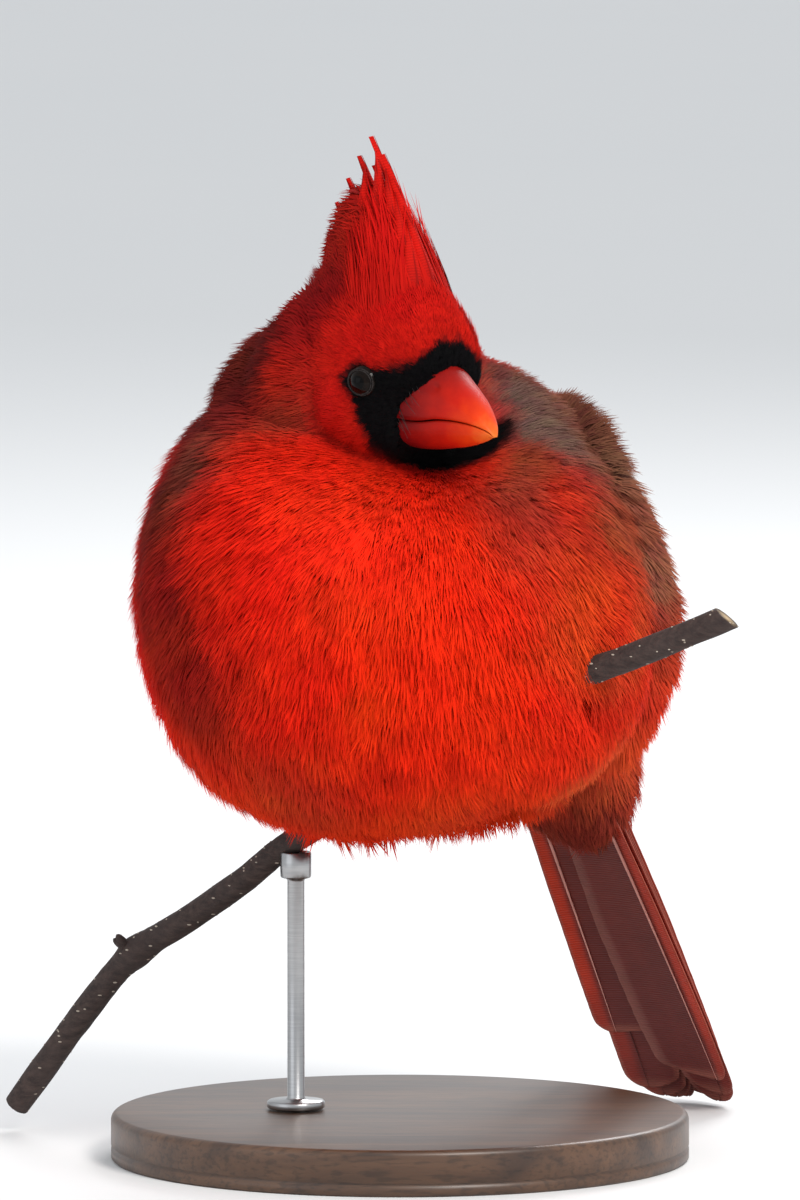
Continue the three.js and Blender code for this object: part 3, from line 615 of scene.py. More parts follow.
all_points, all_faces = [], []
for shell_points, shell_faces in shells():
    start = len(all_points)
    all_points.extend(shell_points)
    all_faces.extend([[i + start for i in face] for face in shell_faces])
skin = mesh_object("skin", all_points, all_faces)
cutter = mesh_object("skirt_cutter", *skirt_shell())
fuse = skin.modifiers.new("fuse", "REMESH")
fuse.mode, fuse.voxel_size = "VOXEL", SKIN_VOXELS[0] * MM
fixed(skin)
cut = skin.modifiers.new("cut", "BOOLEAN")
cut.operation, cut.object, cut.solver = "DIFFERENCE", cutter, "EXACT"
again = skin.modifiers.new("fuse again", "REMESH")
again.mode, again.voxel_size = "VOXEL", SKIN_VOXELS[1] * MM
soften = skin.modifiers.new("soften", "SMOOTH")
soften.factor, soften.iterations = 0.5, 8
fixed(skin)
bpy.data.objects.remove(cutter)
skin.data.shade_smooth()
print("skin faces:", len(skin.data.polygons))

# %% [markdown]
# ## Where everything lies on the skin
# The coat needs to know, at each place of the skin, how long the feathers are, which way they lie and
# what colour they have. We work that out once, for every point, and store it as attributes. Feathers
# stream away from the bill and gather at the tail, so their lie is a field with a source and a sink.

# %% Places
count = len(skin.data.vertices)
skin_points = read(skin.data.vertices, "co", width=3) / MM
skin_normals = np.array([v.vector[:] for v in skin.data.vertex_normals])

LOCK_WAVE = 8.0  # millimetres from one lock of loose feathers to the next
LOCK_TURN = 0.2  # how far the lie swings from lock to lock, in radians
BILL_ROOT = to_world(np.array([[0, -10.5, -2.6]]), HEAD)[0]
TAIL_END = to_world(np.array([[0, 0, -30.0]]), TAIL)[0]


def lie(points, normals):
    """The way the feathers point, along the skin."""
    away = points - BILL_ROOT
    towards = TAIL_END - points
    flow = 1.15 * away / (away**2).sum(1, keepdims=True) + towards / (towards**2).sum(1, keepdims=True)
    flow = flow + (0, 0, -0.0035)
    flow = unit(flow - normals * (flow * normals).sum(1, keepdims=True))
    swing = ripple(points, LOCK_WAVE, 3) + 0.5 * ripple(points, 3.1, 9)
    turn = (LOCK_TURN * swing)[:, None]
    return flow * np.cos(turn) + np.cross(normals, flow) * np.sin(turn)


def head_angles(points):
    """Left-right angle from straight ahead, height angle, and distance from the head's middle."""
    local = to_local(points, HEAD)
    distance = np.linalg.norm(local, axis=1)
    side = np.degrees(np.arctan2(local[:, 0], -local[:, 1]))
    height = np.degrees(np.arcsin(np.clip(local[:, 2] / np.maximum(distance, 1e-6), -1, 1)))
    return side, height, distance


flow = lie(skin_points, skin_normals)
side, height, head_distance = head_angles(skin_points)
head_reach = head_distance / head_radius(unit(to_local(skin_points, HEAD)))
on_head = np.maximum(1 - smooth(head_reach, 1.02, 1.14), to_local(skin_points, HEAD)[:, 2] > 12)
from_bill = np.linalg.norm(skin_points - BILL_ROOT, axis=1)
print("head points:", int((on_head > 0.5).sum()))

# %% [markdown]
# ## Markings
# A male cardinal is scarlet below, duller on the back, and black round the bill: a mask that runs
# from the forehead's edge through the lores to the eye, and down to a bib on the chin. The mask's
# edge is drawn as an angle round the head, and a black ring lies round each eye, so the eyes get their
# places here. In winter the back's feathers have grey-brown edges.

# %% Markings
EYE = {"side": 11.6, "ahead": 4.1, "up": 0.2, "radius": 3.2, "opening": 2.4}
eye_ways = [unit(np.array([s * EYE["side"], -EYE["ahead"], EYE["up"]])) for s in (1, -1)]
eye_places = [to_world((way * head_radius(way))[None], HEAD)[0] for way in eye_ways]

SCARLET = linear(222, 28, 12)
BELLY = linear(222, 48, 16)
CROWN = linear(186, 20, 12)
CHEEK = linear(176, 18, 13)
NAPE = linear(118, 20, 16)
MANTLE = linear(128, 58, 44)
SHOULDER = linear(150, 46, 34)
BLACK = linear(9, 8, 10)

# Edges on the head, as an angle and what belongs to it: another angle, or millimetres for the bib.
MASK_TOP = ((0, 31), (8, 34), (12, 30), (29, 19), (42, 16), (59, 13), (76, 12), (84, 6), (92, 0))
MASK_SIDE = (
    *((-90, 62), (-65, 60), (-50, 60), (-41, 57), (-31, 61)),
    *((-20, 69), (-13, 77), (-8, 83), (0, 90)),
)
BIB_REACH = ((-90, 13.6), (-49, 14.2), (-7, 15.4), (10, 17.6), (24, 19.0), (35, 20.2), (52, 21), (93, 18))
BILL_EDGE = ((-58, 0), (-52, 26), (-40, 35), (-28, 38), (-17, 37), (-1, 29), (6, 18), (15, 10), (22, 0))


def table(value, rows):
    keys, results = zip(*rows)
    return np.interp(value, keys, results)


def mask_amount(points, soft=2.5):
    side, height, distance = head_angles(points)
    near = smooth(table(side, BIB_REACH) - distance, -0.7, 0.7)
    side = np.abs(side)
    top = smooth(table(side, MASK_TOP) - height, -soft, soft)
    outer = smooth(table(height, MASK_SIDE) - side, -soft, soft)
    round_eye = np.min([np.linalg.norm(points - place, axis=1) for place in eye_places], axis=0)
    ring = 1 - smooth(round_eye, 3.0, 3.7)
    return np.maximum(ring, top * np.where(height < 0, outer, top) * near)


def blend(colour, other, amount):
    return colour + (other - colour) * np.asarray(amount)[..., None]


# Places, in the world's frame, where the coat has another colour, and a few with painted shade and light: middle,
# reach, colour.
TINTS = (
    # grey-brown shoulder and mantle, right of the bib
    ((34.5, -13, 120.5), 7, (118, 62, 46)),
    ((29.3, -15, 123.5), 6, (120, 64, 48)),
    ((17, -5, 137.5), 7, (108, 44, 36)),
    ((20.6, -9.9, 130.8), 6.5, (106, 84, 78)),
    ((22.3, -17.4, 126.4), 6, (112, 88, 80)),
    ((27.5, -2.9, 128.5), 9, (110, 62, 48)),
    ((34.4, -7.5, 125.4), 9, (108, 60, 46)),
    ((40, -8, 117), 8, (128, 86, 70)),
    ((42, -11, 108.7), 8, (142, 84, 66)),
    ((20.5, -24.9, 121.9), 4.5, (142, 56, 38)),
    ((18.8, -30.7, 117.4), 5.5, (158, 66, 48)),
    ((17, -35.1, 112.7), 5.5, (172, 56, 36)),
    ((26, -27.5, 117.5), 4.5, (188, 46, 24)),
    ((34.2, -20.8, 113), 7, (152, 66, 44)),
    ((34.2, -27.1, 96.4), 9, (200, 66, 34)),
    # brownish shoulder and dark side on the other edge: the brown is the shoulder's own colour, the darkness is
    # painted shade on the side away from the key light
    ((-33, -17, 124), 8, (116, 50, 40)),
    ((-39, -14, 118), 8, (104, 34, 27)),
    ((-41, -14, 110), 8, (116, 34, 25)),
    ((-38, -21, 102), 10, (148, 28, 18)),
    ((-34, -26, 90), 11, (156, 28, 17)),
    # nape and the hind side of the crest, dark partly from their own duller red and partly from painted shade
    ((-20.6, -11.9, 141.4), 7, (86, 20, 18)),
    ((-25.8, -4.5, 135.5), 9, (96, 22, 19)),
    ((-27.5, -4.4, 129), 7, (98, 24, 21)),
    # painted shadow under the cheek, where the neck overhangs the breast
    ((-17.1, -20.7, 130.1), 4.5, (143, 36, 27)),
    ((-12, -19.6, 150.6), 6, (124, 14, 13)),
    # bright throat and breast
    ((0, -38, 108), 14, (234, 38, 15)),
    ((6, -44, 92), 16, (230, 42, 10)),
    # painted light on the breast's upper edge, towards the side away from the key light; then warmer places on the
    # belly and the flank
    ((-8.6, -38, 118.5), 10, (240, 42, 18)),
    ((27.6, -29, 100), 9, (214, 62, 24)),
    ((32.8, -12, 70.5), 10, (214, 76, 40)),
    ((8.6, -22, 64.5), 9, (216, 56, 26)),
    ((-17, -26, 71.5), 9, (200, 50, 24)),
    ((38, 0, 84), 10, (210, 62, 32)),
    ((34, 8, 72), 9, (204, 64, 36)),
    ((39, 2, 96), 8, (188, 60, 36)),
    # coverts under the tail
    ((33.1, 26, 66.3), 8, (196, 68, 40)),
    ((31.4, 33.1, 56.7), 9, (134, 48, 35)),
)


def plumage(points):
    body = to_local(points, BODY)
    way = unit(body)
    back = smooth(way[:, 1], 0.12, 0.5)
    low = smooth(-way[:, 2], 0.1, 0.8)
    colour = np.tile(SCARLET, (len(points), 1))
    colour = blend(colour, BELLY, low)
    above = smooth(way[:, 2], -0.35, 0.35)
    colour = blend(colour, SHOULDER, smooth(np.abs(way[:, 0]), 0.8, 0.97) * above * 0.6)
    colour = blend(colour, MANTLE, back * (0.55 + 0.45 * smooth(way[:, 2], -0.6, 0.1)))
    neck = 1 - smooth(np.linalg.norm(to_local(points, NECK), axis=1), 24.5, 28)
    hind = smooth(to_local(points, HEAD)[:, 1], 4, 16)
    colour = blend(colour, NAPE, neck * hind * 0.85)
    side, height, distance = head_angles(points)
    local = to_local(points, HEAD)
    reach = distance / head_radius(unit(local))
    head = np.maximum(1 - smooth(reach, 1.05, 1.3), smooth(local[:, 2], 9, 13) * (distance < 42))
    face = blend(np.tile(CROWN, (len(points), 1)), CHEEK, smooth(-height, -5, 20))
    face = blend(face, NAPE, smooth(local[:, 1], 2, 16) * 0.75)
    colour = blend(colour, face, head)
    for middle, reach, tint in TINTS:
        near = np.exp(-((np.linalg.norm(points - middle, axis=1) / reach) ** 2))
        colour = blend(colour, linear(*tint), np.minimum(1, near * 1.5))
    streak = 1 + 0.12 * ripple(points, 5, 31) + 0.08 * ripple(points, 1.9, 47)
    redness = np.clip(1 - 4 * colour[:, 1] / np.maximum(colour[:, 0], 1e-4), 0, 1)
    warm = 1 + 0.4 * redness * ripple(points, 11, 53)
    colour = colour * np.stack([streak, streak * warm, streak], axis=1)
    return blend(colour, BLACK, mask_amount(points))


colours = plumage(skin_points)
print("black share of the skin:", round(float((mask_amount(skin_points) > 0.5).mean()), 3))

# %% [markdown]
# ## Length and density of the coat
# Feathers are tiny round the bill and eyes and longest on the belly and flanks. Short ones stand
# closer. None grow where the bill, the eyes, the wings or the twig leave no room.

# %% Length, density and crest
length = np.clip(1.9 + (from_bill - 7) * 0.2, 1.9, 7.6)
eye_gap = np.min([np.linalg.norm(skin_points - place, axis=1) for place in eye_places], axis=0)
length = np.minimum(length, 1.2 + 0.45 * np.maximum(eye_gap - 2.6, 0))

bare = eye_gap < EYE["opening"] + 0.25
bare |= (np.abs(side) < table(height, BILL_EDGE)) & (on_head > 0.5)
twig_gap = np.min([np.linalg.norm(skin_points - p, axis=1) for p in twig_line[::4]], axis=0)
bare |= twig_gap < TWIG_RADIUS + 0.1

CREST = {"apex": np.array([0, 15.6, 36.7]), "nape": np.array([0, 30, 7]), "side": 48}
CREST_FALL = ((-58, 0.95), (-38, 0.64), (-16, 0.36), (4, 0.13), (24, 0.0), (44, 0.07), (60, 0.3))


def crest_tips(local):
    """For points on the crown, in the head's frame: where each long feather would end."""
    way = unit(local)
    sideways = np.degrees(np.arcsin(np.clip(way[:, 0], -1, 1))) / CREST["side"]
    lean = np.degrees(np.arctan2(-way[:, 1], way[:, 2]))
    fall = table(lean, CREST_FALL)[:, None]
    end = CREST["apex"] * (1 - fall) + CREST["nape"] * fall
    end = end + sideways[:, None] * np.array([2.4, 0, 0])
    share = np.clip(1 - 0.3 * sideways**2, 0.2, 1)[:, None]
    return local + (end - local) * share, sideways, lean


head_local = to_local(skin_points, HEAD)
tips, sideways, lean = crest_tips(head_local)
on_crown = (head_local[:, 2] > 6) & (head_distance < 40)
on_crown &= (np.abs(sideways) < 1.2) & (lean > -62) & (lean < 47)
crest_way = unit((tips - head_local) @ HEAD[0].T)
crest_length = np.linalg.norm(tips - head_local, axis=1)
above_crown = head_local[:, 2] - 9
crest_share = on_crown * smooth(above_crown, -2, 5)
flow = unit(blend(flow, crest_way, crest_share))
standing = np.minimum(np.clip(2.6 + 0.32 * above_crown, 2.6, 8), crest_length + 1)
length = length * (1 - crest_share) + standing * crest_share
print("crown points:", int(on_crown.sum()))

body_local = to_local(skin_points, BODY)
on_arm = np.zeros(count)
for wing_side in (1, -1):
    along, across = wing_place(body_local, wing_side)
    rise = np.linalg.norm(body_local, axis=1) - torso_radius(unit(body_local))
    under_wing = (along > 9) & (along < 52) & (across > 0) & (across < 27)
    bare |= under_wing & (on_head < 0.2) & (rise < -1)
    over_arm = smooth(along, -14, -9) * (1 - smooth(along, 12, 18))
    on_arm += over_arm * smooth(across, -10, -5) * (1 - smooth(across, 31, 36))

length = length * (1 - 0.25 * on_arm * (on_head < 0.2))
inside = np.linalg.norm(body_local, axis=1) / torso_radius(unit(body_local))
deep = (inside < 0.88) & (head_distance > 30)
length = np.where(deep, 3.2, length)
density = 1.1 * (8.4 / np.maximum(length, 1.5)) ** 1.3
density = np.where(deep, 1.6, density)
density = np.where(bare, 0, density)
print("bare share of the skin:", round(float(bare.mean()), 3))

# %% [markdown]
# ## Attributes on the skin
# A Geometry Nodes tree can read numbers stored on a mesh. We store them per point, and a region number
# per face, because one piece may hold only so many triangles. The unwrap gives each tuft its own place
# on one map.

# %% Store attributes
TUFTS_A_PIECE = 5200
LIFT = 6  # degrees that a tuft stands off the skin
LIFT_SWING = 4  # and how much that differs from lock to lock
lift_degrees = LIFT + LIFT_SWING * ripple(skin_points, 6.5, 21) * (1 - on_head) - 4 * on_arm
lift = np.radians(np.clip(lift_degrees, 0, 14))[:, None]
way_out = unit(flow * np.cos(lift) + skin_normals * np.sin(lift))


def store(mesh, name, kind, domain, values):
    attribute = mesh.attributes.new(name, kind, domain)
    key = {"FLOAT": "value", "INT": "value", "FLOAT_VECTOR": "vector", "FLOAT_COLOR": "color"}[kind]
    attribute.data.foreach_set(key, np.asarray(values).ravel())


def faces_mean(mesh, values):
    """The mean of a point value over each face."""
    loops = read(mesh.loops, "vertex_index", int)
    starts = read(mesh.polygons, "loop_start", int)
    totals = read(mesh.polygons, "loop_total", int)
    return (np.add.reduceat(np.asarray(values, float)[loops], starts, axis=0).T / totals).T


store(skin.data, "flow", "FLOAT_VECTOR", "POINT", way_out)
store(skin.data, "coat_length", "FLOAT", "POINT", length * MM)
store(skin.data, "coat_density", "FLOAT", "POINT", density / MM**2)
store(skin.data, "plumage", "FLOAT_COLOR", "POINT", np.hstack([colours, np.ones((count, 1))]))

areas = read(skin.data.polygons, "area")
tufts_a_face = faces_mean(skin.data, density) * areas / MM**2
centres = faces_mean(skin.data, skin_points)
face_on_head = faces_mean(skin.data, on_head) > 0.5
azimuth = np.arctan2(centres[:, 1] - BODY[1][1], centres[:, 0] - BODY[1][0])
order = np.lexsort((azimuth, ~face_on_head))
filled = np.cumsum(tufts_a_face[order]) / TUFTS_A_PIECE
region = np.empty(len(order), np.int32)
region[order] = filled.astype(int)
PIECES = int(region.max()) + 1
store(skin.data, "region", "INT", "FACE", region)
print("tufts expected:", int(tufts_a_face.sum()), "in", PIECES, "pieces")

skin.data.uv_layers.new(name="OFBake")
bpy.context.view_layer.objects.active = skin
skin.select_set(True)
bpy.ops.object.mode_set(mode="EDIT")
bpy.ops.mesh.select_all(action="SELECT")
bpy.ops.uv.smart_project(angle_limit=np.radians(60), island_margin=0.004)
bpy.ops.object.mode_set(mode="OBJECT")
skin.select_set(False)

# %% [markdown]
# ## Tufts
# A body feather is a short shaft with loose barbs that fan out, and on a fluffed bird the barbs part
# like fine hair. A few different tufts are enough: each is a fan of narrow blades, one unit long,
# that rises from the skin and bends over. Geometry Nodes scatter, turn and stretch them.


# %% Tuft meshes
def tuft(name, barbs, spread, width, rise, seed, keep):
    rng = np.random.default_rng(seed)
    points, faces, ends, patches = [], [], [], []
    steps = np.array([0, 0.55, 1])
    widths = np.array([0.8, 1, 0]) * width / 2
    for place in np.linspace(-1, 1, barbs):
        angle = np.radians(place * spread + rng.normal(0, spread * 0.12))
        reach = 1 - 0.2 * place**2 + rng.uniform(-0.14, 0.06)
        bend = rng.normal(0, 0.05)
        level = rng.uniform(-0.035, 0.035)
        start = len(points)
        for t, half in zip(steps, widths):
            x = np.sin(angle) * reach * t + bend * t * t + place * 0.03
            y = np.cos(angle) * reach * t
            z = rise * np.sin(0.6 * np.pi * t) + level * t
            row = (x - half, x + half) if half else (x,)
            for at in row:
                points.append((at, y, z))
                ends.append(t)
                patches.append((0.5 + at, y))
        faces += [(start, start + 1, start + 3, start + 2), (start + 2, start + 3, start + 4)]
    mesh = bpy.data.meshes.new(name)
    mesh.from_pydata(points, [], faces)
    mesh.shade_smooth()
    store(mesh, "tip", "FLOAT", "POINT", ends)
    store(mesh, "patch", "FLOAT_VECTOR", "POINT", [(u, v, 0) for u, v in patches])
    keep.objects.link(bpy.data.objects.new(name, mesh))


body_tufts = bpy.data.collections.new("body tufts")
face_tufts = bpy.data.collections.new("face tufts")
crest_tufts = bpy.data.collections.new("crest tufts")
for variant in range(4):
    tuft(f"body_tuft_{variant}", 11, 13, 0.03, 0.3, 10 + variant, body_tufts)
    tuft(f"face_tuft_{variant}", 7, 17, 0.075, 0.22, 20 + variant, face_tufts)
    tuft(f"crest_tuft_{variant}", 9, 2.4, 0.02, 0.03, 30 + variant, crest_tufts)
print("tuft triangles:", 11 * 3, 7 * 3, 9 * 3)


# %% [markdown]
# ## The coat's node tree
# One tree serves every piece. It takes the skin, keeps one region, scatters points by the stored
# density, sets a tuft on each with its length along the lie, adds a little disorder, and realizes
# them into real mesh. Each tuft's map is a tiny patch at its root's place on the skin's unwrap.


# %% Coat tree
def geometry_tree(name, **sockets):
    """A tree with a geometry in and out and more inputs, and the places where its inputs come in."""
    tree = bpy.data.node_groups.new(name, "GeometryNodeTree")
    for socket, kind in {"Geometry": "Geometry", **sockets}.items():
        tree.interface.new_socket(socket, in_out="INPUT", socket_type="NodeSocket" + kind)
    tree.interface.new_socket("Geometry", in_out="OUTPUT", socket_type="NodeSocketGeometry")
    return tree, tree.nodes.new("NodeGroupInput").outputs


def coat_tree():
    tree, start = geometry_tree(
        "Feather coat", Region="Int", Seed="Int", Tufts="Collection", Disorder="Float", Surface="Material"
    )

    def named(name, kind):
        return node(tree, "GeometryNodeInputNamedAttribute", {"Name": name}, data_type=kind).outputs[0]

    def random_float(low, high, seed):
        made = node(tree, "FunctionNodeRandomValue", {2: low, 3: high, "Seed": seed}, data_type="FLOAT")
        return made.outputs[1]

    here = node(
        tree,
        "FunctionNodeCompare",
        {2: named("region", "INT"), 3: start["Region"]},
        data_type="INT",
        operation="EQUAL",
    )
    scatter = node(
        tree,
        "GeometryNodeDistributePointsOnFaces",
        {
            "Mesh": start["Geometry"],
            "Selection": here.outputs[0],
            "Density": named("coat_density", "FLOAT"),
            "Seed": start["Seed"],
        },
    )
    shaded = node(
        tree,
        "GeometryNodeStoreNamedAttribute",
        {"Geometry": scatter.outputs["Points"], "Name": "shade", "Value": random_float(-1.0, 1.0, 3)},
        data_type="FLOAT",
        domain="POINT",
    )
    aim = node(
        tree,
        "FunctionNodeAxesToRotation",
        {"Primary Axis": named("flow", "FLOAT_VECTOR"), "Secondary Axis": scatter.outputs["Normal"]},
        primary_axis="Y",
        secondary_axis="Z",
    )
    wobble = node(
        tree,
        "FunctionNodeRandomValue",
        {0: (-0.5, -1.0, -1.0), 1: (0.5, 1.0, 1.0), "Seed": 5},
        data_type="FLOAT_VECTOR",
    )
    disorder = scaled(tree, wobble.outputs[0], start["Disorder"])
    angles = node(tree, "FunctionNodeEulerToRotation", {"Euler": disorder})
    turn = node(
        tree,
        "FunctionNodeRotateRotation",
        {"Rotation": aim.outputs[0], "Rotate By": angles.outputs[0]},
        rotation_space="LOCAL",
    )
    kinds = node(
        tree,
        "GeometryNodeCollectionInfo",
        {"Collection": start["Tufts"], "Separate Children": True, "Reset Children": True},
    )
    plant = node(
        tree,
        "GeometryNodeInstanceOnPoints",
        {
            "Points": shaded.outputs[0],
            "Instance": kinds.outputs[0],
            "Pick Instance": True,
            "Rotation": turn.outputs[0],
            "Scale": product(tree, named("coat_length", "FLOAT"), random_float(0.78, 1.16, 7)),
        },
    )
    real = node(tree, "GeometryNodeRealizeInstances", {"Geometry": plant.outputs[0]})
    centred = node(
        tree,
        "ShaderNodeVectorMath",
        {0: named("patch", "FLOAT_VECTOR"), 1: (0.5, 0.5, 0)},
        operation="SUBTRACT",
    )
    patch = scaled(tree, centred.outputs[0], PATCH_SIZE)
    place = node(tree, "ShaderNodeVectorMath", {0: named("OFBake", "FLOAT_VECTOR"), 1: patch})
    mapped = node(
        tree,
        "GeometryNodeStoreNamedAttribute",
        {"Geometry": real.outputs[0], "Name": "tuft_map", "Value": place.outputs[0]},
        data_type="FLOAT2",
        domain="CORNER",
    )
    last = {"Geometry": mapped.outputs[0], "Material": start["Surface"]}
    finish = node(tree, "GeometryNodeSetMaterial", last)
    node(tree, "NodeGroupOutput", {"Geometry": finish.outputs[0]})
    return tree


def grown(name, ground, tree, values):
    """Runs a tree on a copy of the ground mesh and keeps the result as one plain mesh piece."""
    piece = bpy.data.objects.new(name, ground)
    bpy.context.collection.objects.link(piece)
    modifier = piece.modifiers.new("scatter", "NODES")
    modifier.node_group = tree
    for item in tree.interface.items_tree:
        if item.item_type == "SOCKET" and item.in_out == "INPUT" and item.name in values:
            modifier[item.identifier] = values[item.name]
    fixed(piece)
    piece.data.name = name
    return piece


PATCH_SIZE = 0.003  # of a tuft's patch, as a share of the whole map
feather_coat = coat_tree()
print("coat nodes:", len(feather_coat.nodes))


# %% [markdown]
# ## The plumage's finish
# A barb is dull and soft at its root and clear at its tip. The material takes the stored colour, darkens
# it towards the root, partly for the darker base of a feather and partly as painted shade deep in the
# coat, and gives each tuft its own shade and its own warmth. The skin wears the same material, as dark
# as the roots: the dark down between the feathers, deepened with painted shade.

# %% Plumage material
plumage_finish, plumage_tree, plumage_shader = material("plumage", 0.8, Specular_IOR_Level=0.06)
own_shade = stored_value(plumage_tree, "shade")
# darker towards the root: partly a feather's darker base, partly painted shade deep in the coat
root_tone_and_shade = remap(plumage_tree, stored_value(plumage_tree, "tip"), 0.55, 1.08)
variety = remap(plumage_tree, own_shade, 0.88, 1.12, start=-1.0)
warmth = remap(plumage_tree, own_shade, 0.86, 1.18, start=-1.0)
base_colour = stored_value(plumage_tree, "plumage", "Color")
shaded = scaled(plumage_tree, base_colour, product(plumage_tree, root_tone_and_shade, variety))
hue = node(plumage_tree, "ShaderNodeCombineXYZ", {"X": 1.0, "Y": warmth, "Z": 1.0}).outputs[0]
toned = node(plumage_tree, "ShaderNodeVectorMath", {0: shaded, 1: hue}, operation="MULTIPLY")
coloured(plumage_tree, plumage_shader, toned.outputs[0])
print("plumage nodes:", len(plumage_tree.nodes))
skin.data.materials.append(plumage_finish)

# %% [markdown]
# ## Growing the coat
# Each region of the skin grows its own piece. On the head the tufts are short and wide, on the body
# long and loose, and what the tree needed only on its way is taken off the finished mesh.


# %% Coat pieces
def grow(name, ground, region, tufts, disorder, seed):
    values = {"Region": region, "Seed": seed, "Tufts": tufts, "Disorder": disorder}
    piece = grown(name, ground, feather_coat, {**values, "Surface": plumage_finish})
    mesh = piece.data
    for spare in ("OFBake", "patch", "flow", "coat_length", "coat_density", "region"):
        if spare in mesh.attributes:
            mesh.attributes.remove(mesh.attributes[spare])
    mesh.attributes["tuft_map"].name = "OFBake"
    print(name, "triangles:", len(mesh.loops) - 2 * len(mesh.polygons))
    return piece


coat = []
head_pieces = int(filled[face_on_head.sum() - 1]) + 1
for number in range(PIECES):
    kind = face_tufts if number < head_pieces - 1 else body_tufts
    coat.append(grow(f"coat_{number}", skin.data, number, kind, 0.16, 40 + number))

# %% [markdown]
# ## Crest
# The crest's feathers are long, narrow and pointed, and lean together. The same tree grows them on
# the crown, with a straight tuft and a lie that points at the crest's edge, so they end there.

# %% Crest pieces
crown = skin.data.copy()
crown.attributes["region"].data.foreach_set("value", (faces_mean(crown, on_crown) > 0.6).astype(np.int32))
crown.attributes["flow"].data.foreach_set("vector", crest_way.ravel())
crown.attributes["coat_length"].data.foreach_set("value", crest_length * 0.76 * MM)
crest_density = np.where(on_crown & (mask_amount(skin_points) < 0.1), 0.5, 0) / MM**2
crown.attributes["coat_density"].data.foreach_set("value", crest_density)
coat.append(grow("crest", crown, 1, crest_tufts, 0.02, 77))
for collection in (body_tufts, face_tufts, crest_tufts):
    for made in list(collection.objects):
        bpy.data.objects.remove(made)

for piece in [skin, *coat]:
    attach(piece, "root")
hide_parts("torso", "neck", "head")
print("coat triangles:", sum(len(c.data.loops) - 2 * len(c.data.polygons) for c in coat))

# %% [markdown]
# ## Vanes
# A flight feather is a stiff shaft with a flat vane on each side, and each vane is a row of slanted
# barbs. We make a vane as one thin closed plate whose rows run along the barbs, so the rows themselves
# give the slant, and store for each point how far along the barbs it is, for the fine lines.


# %% Vane and shaft
def gathered():
    return {"points": [], "faces": [], "plumage": [], "barb": []}


def add(parts, points, faces, colour, barb):
    start = len(parts["points"])
    parts["points"].extend(points)
    parts["faces"].extend([[i + start for i in face] for face in faces])
    parts["plumage"].extend(np.broadcast_to(colour, (len(points), 3)))
    parts["barb"].extend(np.broadcast_to(barb, len(points)))


def closed_grid(rows, columns):
    """Faces of a plate: an upper and a lower grid of points, joined round the edge."""
    low = rows * columns

    def at(row, column, lift=0):
        return row * columns + column + lift

    faces = []
    for row in range(rows - 1):
        for column in range(columns - 1):
            a, b = at(row, column), at(row, column + 1)
            c, d = at(row + 1, column + 1), at(row + 1, column)
            faces += [(a, b, c, d), (d + low, c + low, b + low, a + low)]
        for column, turn in ((0, 1), (columns - 1, -1)):
            edge = (at(row, column), at(row + 1, column), at(row + 1, column, low), at(row, column, low))
            faces.append(edge[::turn])
    for column in range(columns - 1):
        for row, turn in ((0, -1), (rows - 1, 1)):
            edge = (at(row, column), at(row, column + 1), at(row, column + 1, low), at(row, column, low))
            faces.append(edge[::turn])
    return faces


def tube(centres, radii, sides=8):
    """Rings round a line of points, closed at both ends."""
    ways = unit(np.gradient(centres, axis=0))
    aside = unit(np.cross(ways, unit(np.cross(ways[0], (0.31, 0.2, 0.93)))))
    up = np.cross(aside, ways)
    turn = np.linspace(0, 2 * np.pi, sides, endpoint=False)[None, :, None]
    offset = np.cos(turn) * aside[:, None] + np.sin(turn) * up[:, None]
    rings = centres[:, None] + offset * np.broadcast_to(radii, len(centres))[:, None, None]
    return loft(list(rings))


def feather(parts, place, along, middle, inner, outer, lift, paint, shaft, rows=34, side_columns=5):
    """One vane with its shaft. place(along, across, lift) gives the points in the world's frame."""
    share = (along - along[0]) / (along[-1] - along[0])
    column = np.linspace(-1, 1, 2 * side_columns + 1)
    c = column[None, :]
    reach = np.where(c < 0, inner[:, None], outer[:, None])
    rough = 1 + 0.006 * np.sin(np.arange(rows) * 2.4)[:, None] * np.abs(c) ** 4
    slant = 0.6 * np.abs(c) * reach * np.sin(np.pi * share)[:, None]
    down = along[:, None] + slant * np.sign(along[-1] - along[0])
    across = middle[:, None] + c * reach * rough
    crown = lift(across, c) + 0.25 * (1 - c**2)
    thick = 0.34 * (1 - 0.5 * c**2) * (1 - 0.75 * smooth(share, 0.75, 1))[:, None]
    upper, lower = place(down, across, crown + thick), place(down, across, crown)
    colour = paint(share[:, None] + 0 * c, c + 0 * across)
    barb = np.abs(down - along[0]) / 0.5
    grid = np.concatenate([upper.reshape(-1, 3), lower.reshape(-1, 3)])
    faces = closed_grid(rows, len(column))
    add(parts, grid, faces, np.tile(colour.reshape(-1, 3), (2, 1)), np.tile(barb.ravel(), 2))
    for rise in (0.46, 0.08):
        quill = place(along, middle, lift(middle[:, None], np.zeros((1, 1)))[:, 0] + rise)
        add(parts, *tube(quill, 0.4 - 0.37 * share, 6), shaft, 0.0)


def closed(name, parts, surface, slot, *nodes):
    """A finished piece from gathered parts, with its normals turned outwards."""
    piece = mesh_object(name, parts["points"], parts["faces"], surface)
    form = bmesh.new()
    form.from_mesh(piece.data)
    bmesh.ops.recalc_face_normals(form, faces=form.faces)
    form.to_mesh(piece.data)
    form.free()
    if parts["plumage"]:
        painted = np.hstack([np.array(parts["plumage"]), np.ones((len(parts["points"]), 1))])
        store(piece.data, "plumage", "FLOAT_COLOR", "POINT", painted)
        store(piece.data, "barb", "FLOAT", "POINT", parts["barb"])
    piece.data.shade_smooth()
    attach(piece, "root")
    if nodes:
        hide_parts(*nodes)
    print(name, "faces:", len(piece.data.polygons))
    return piece


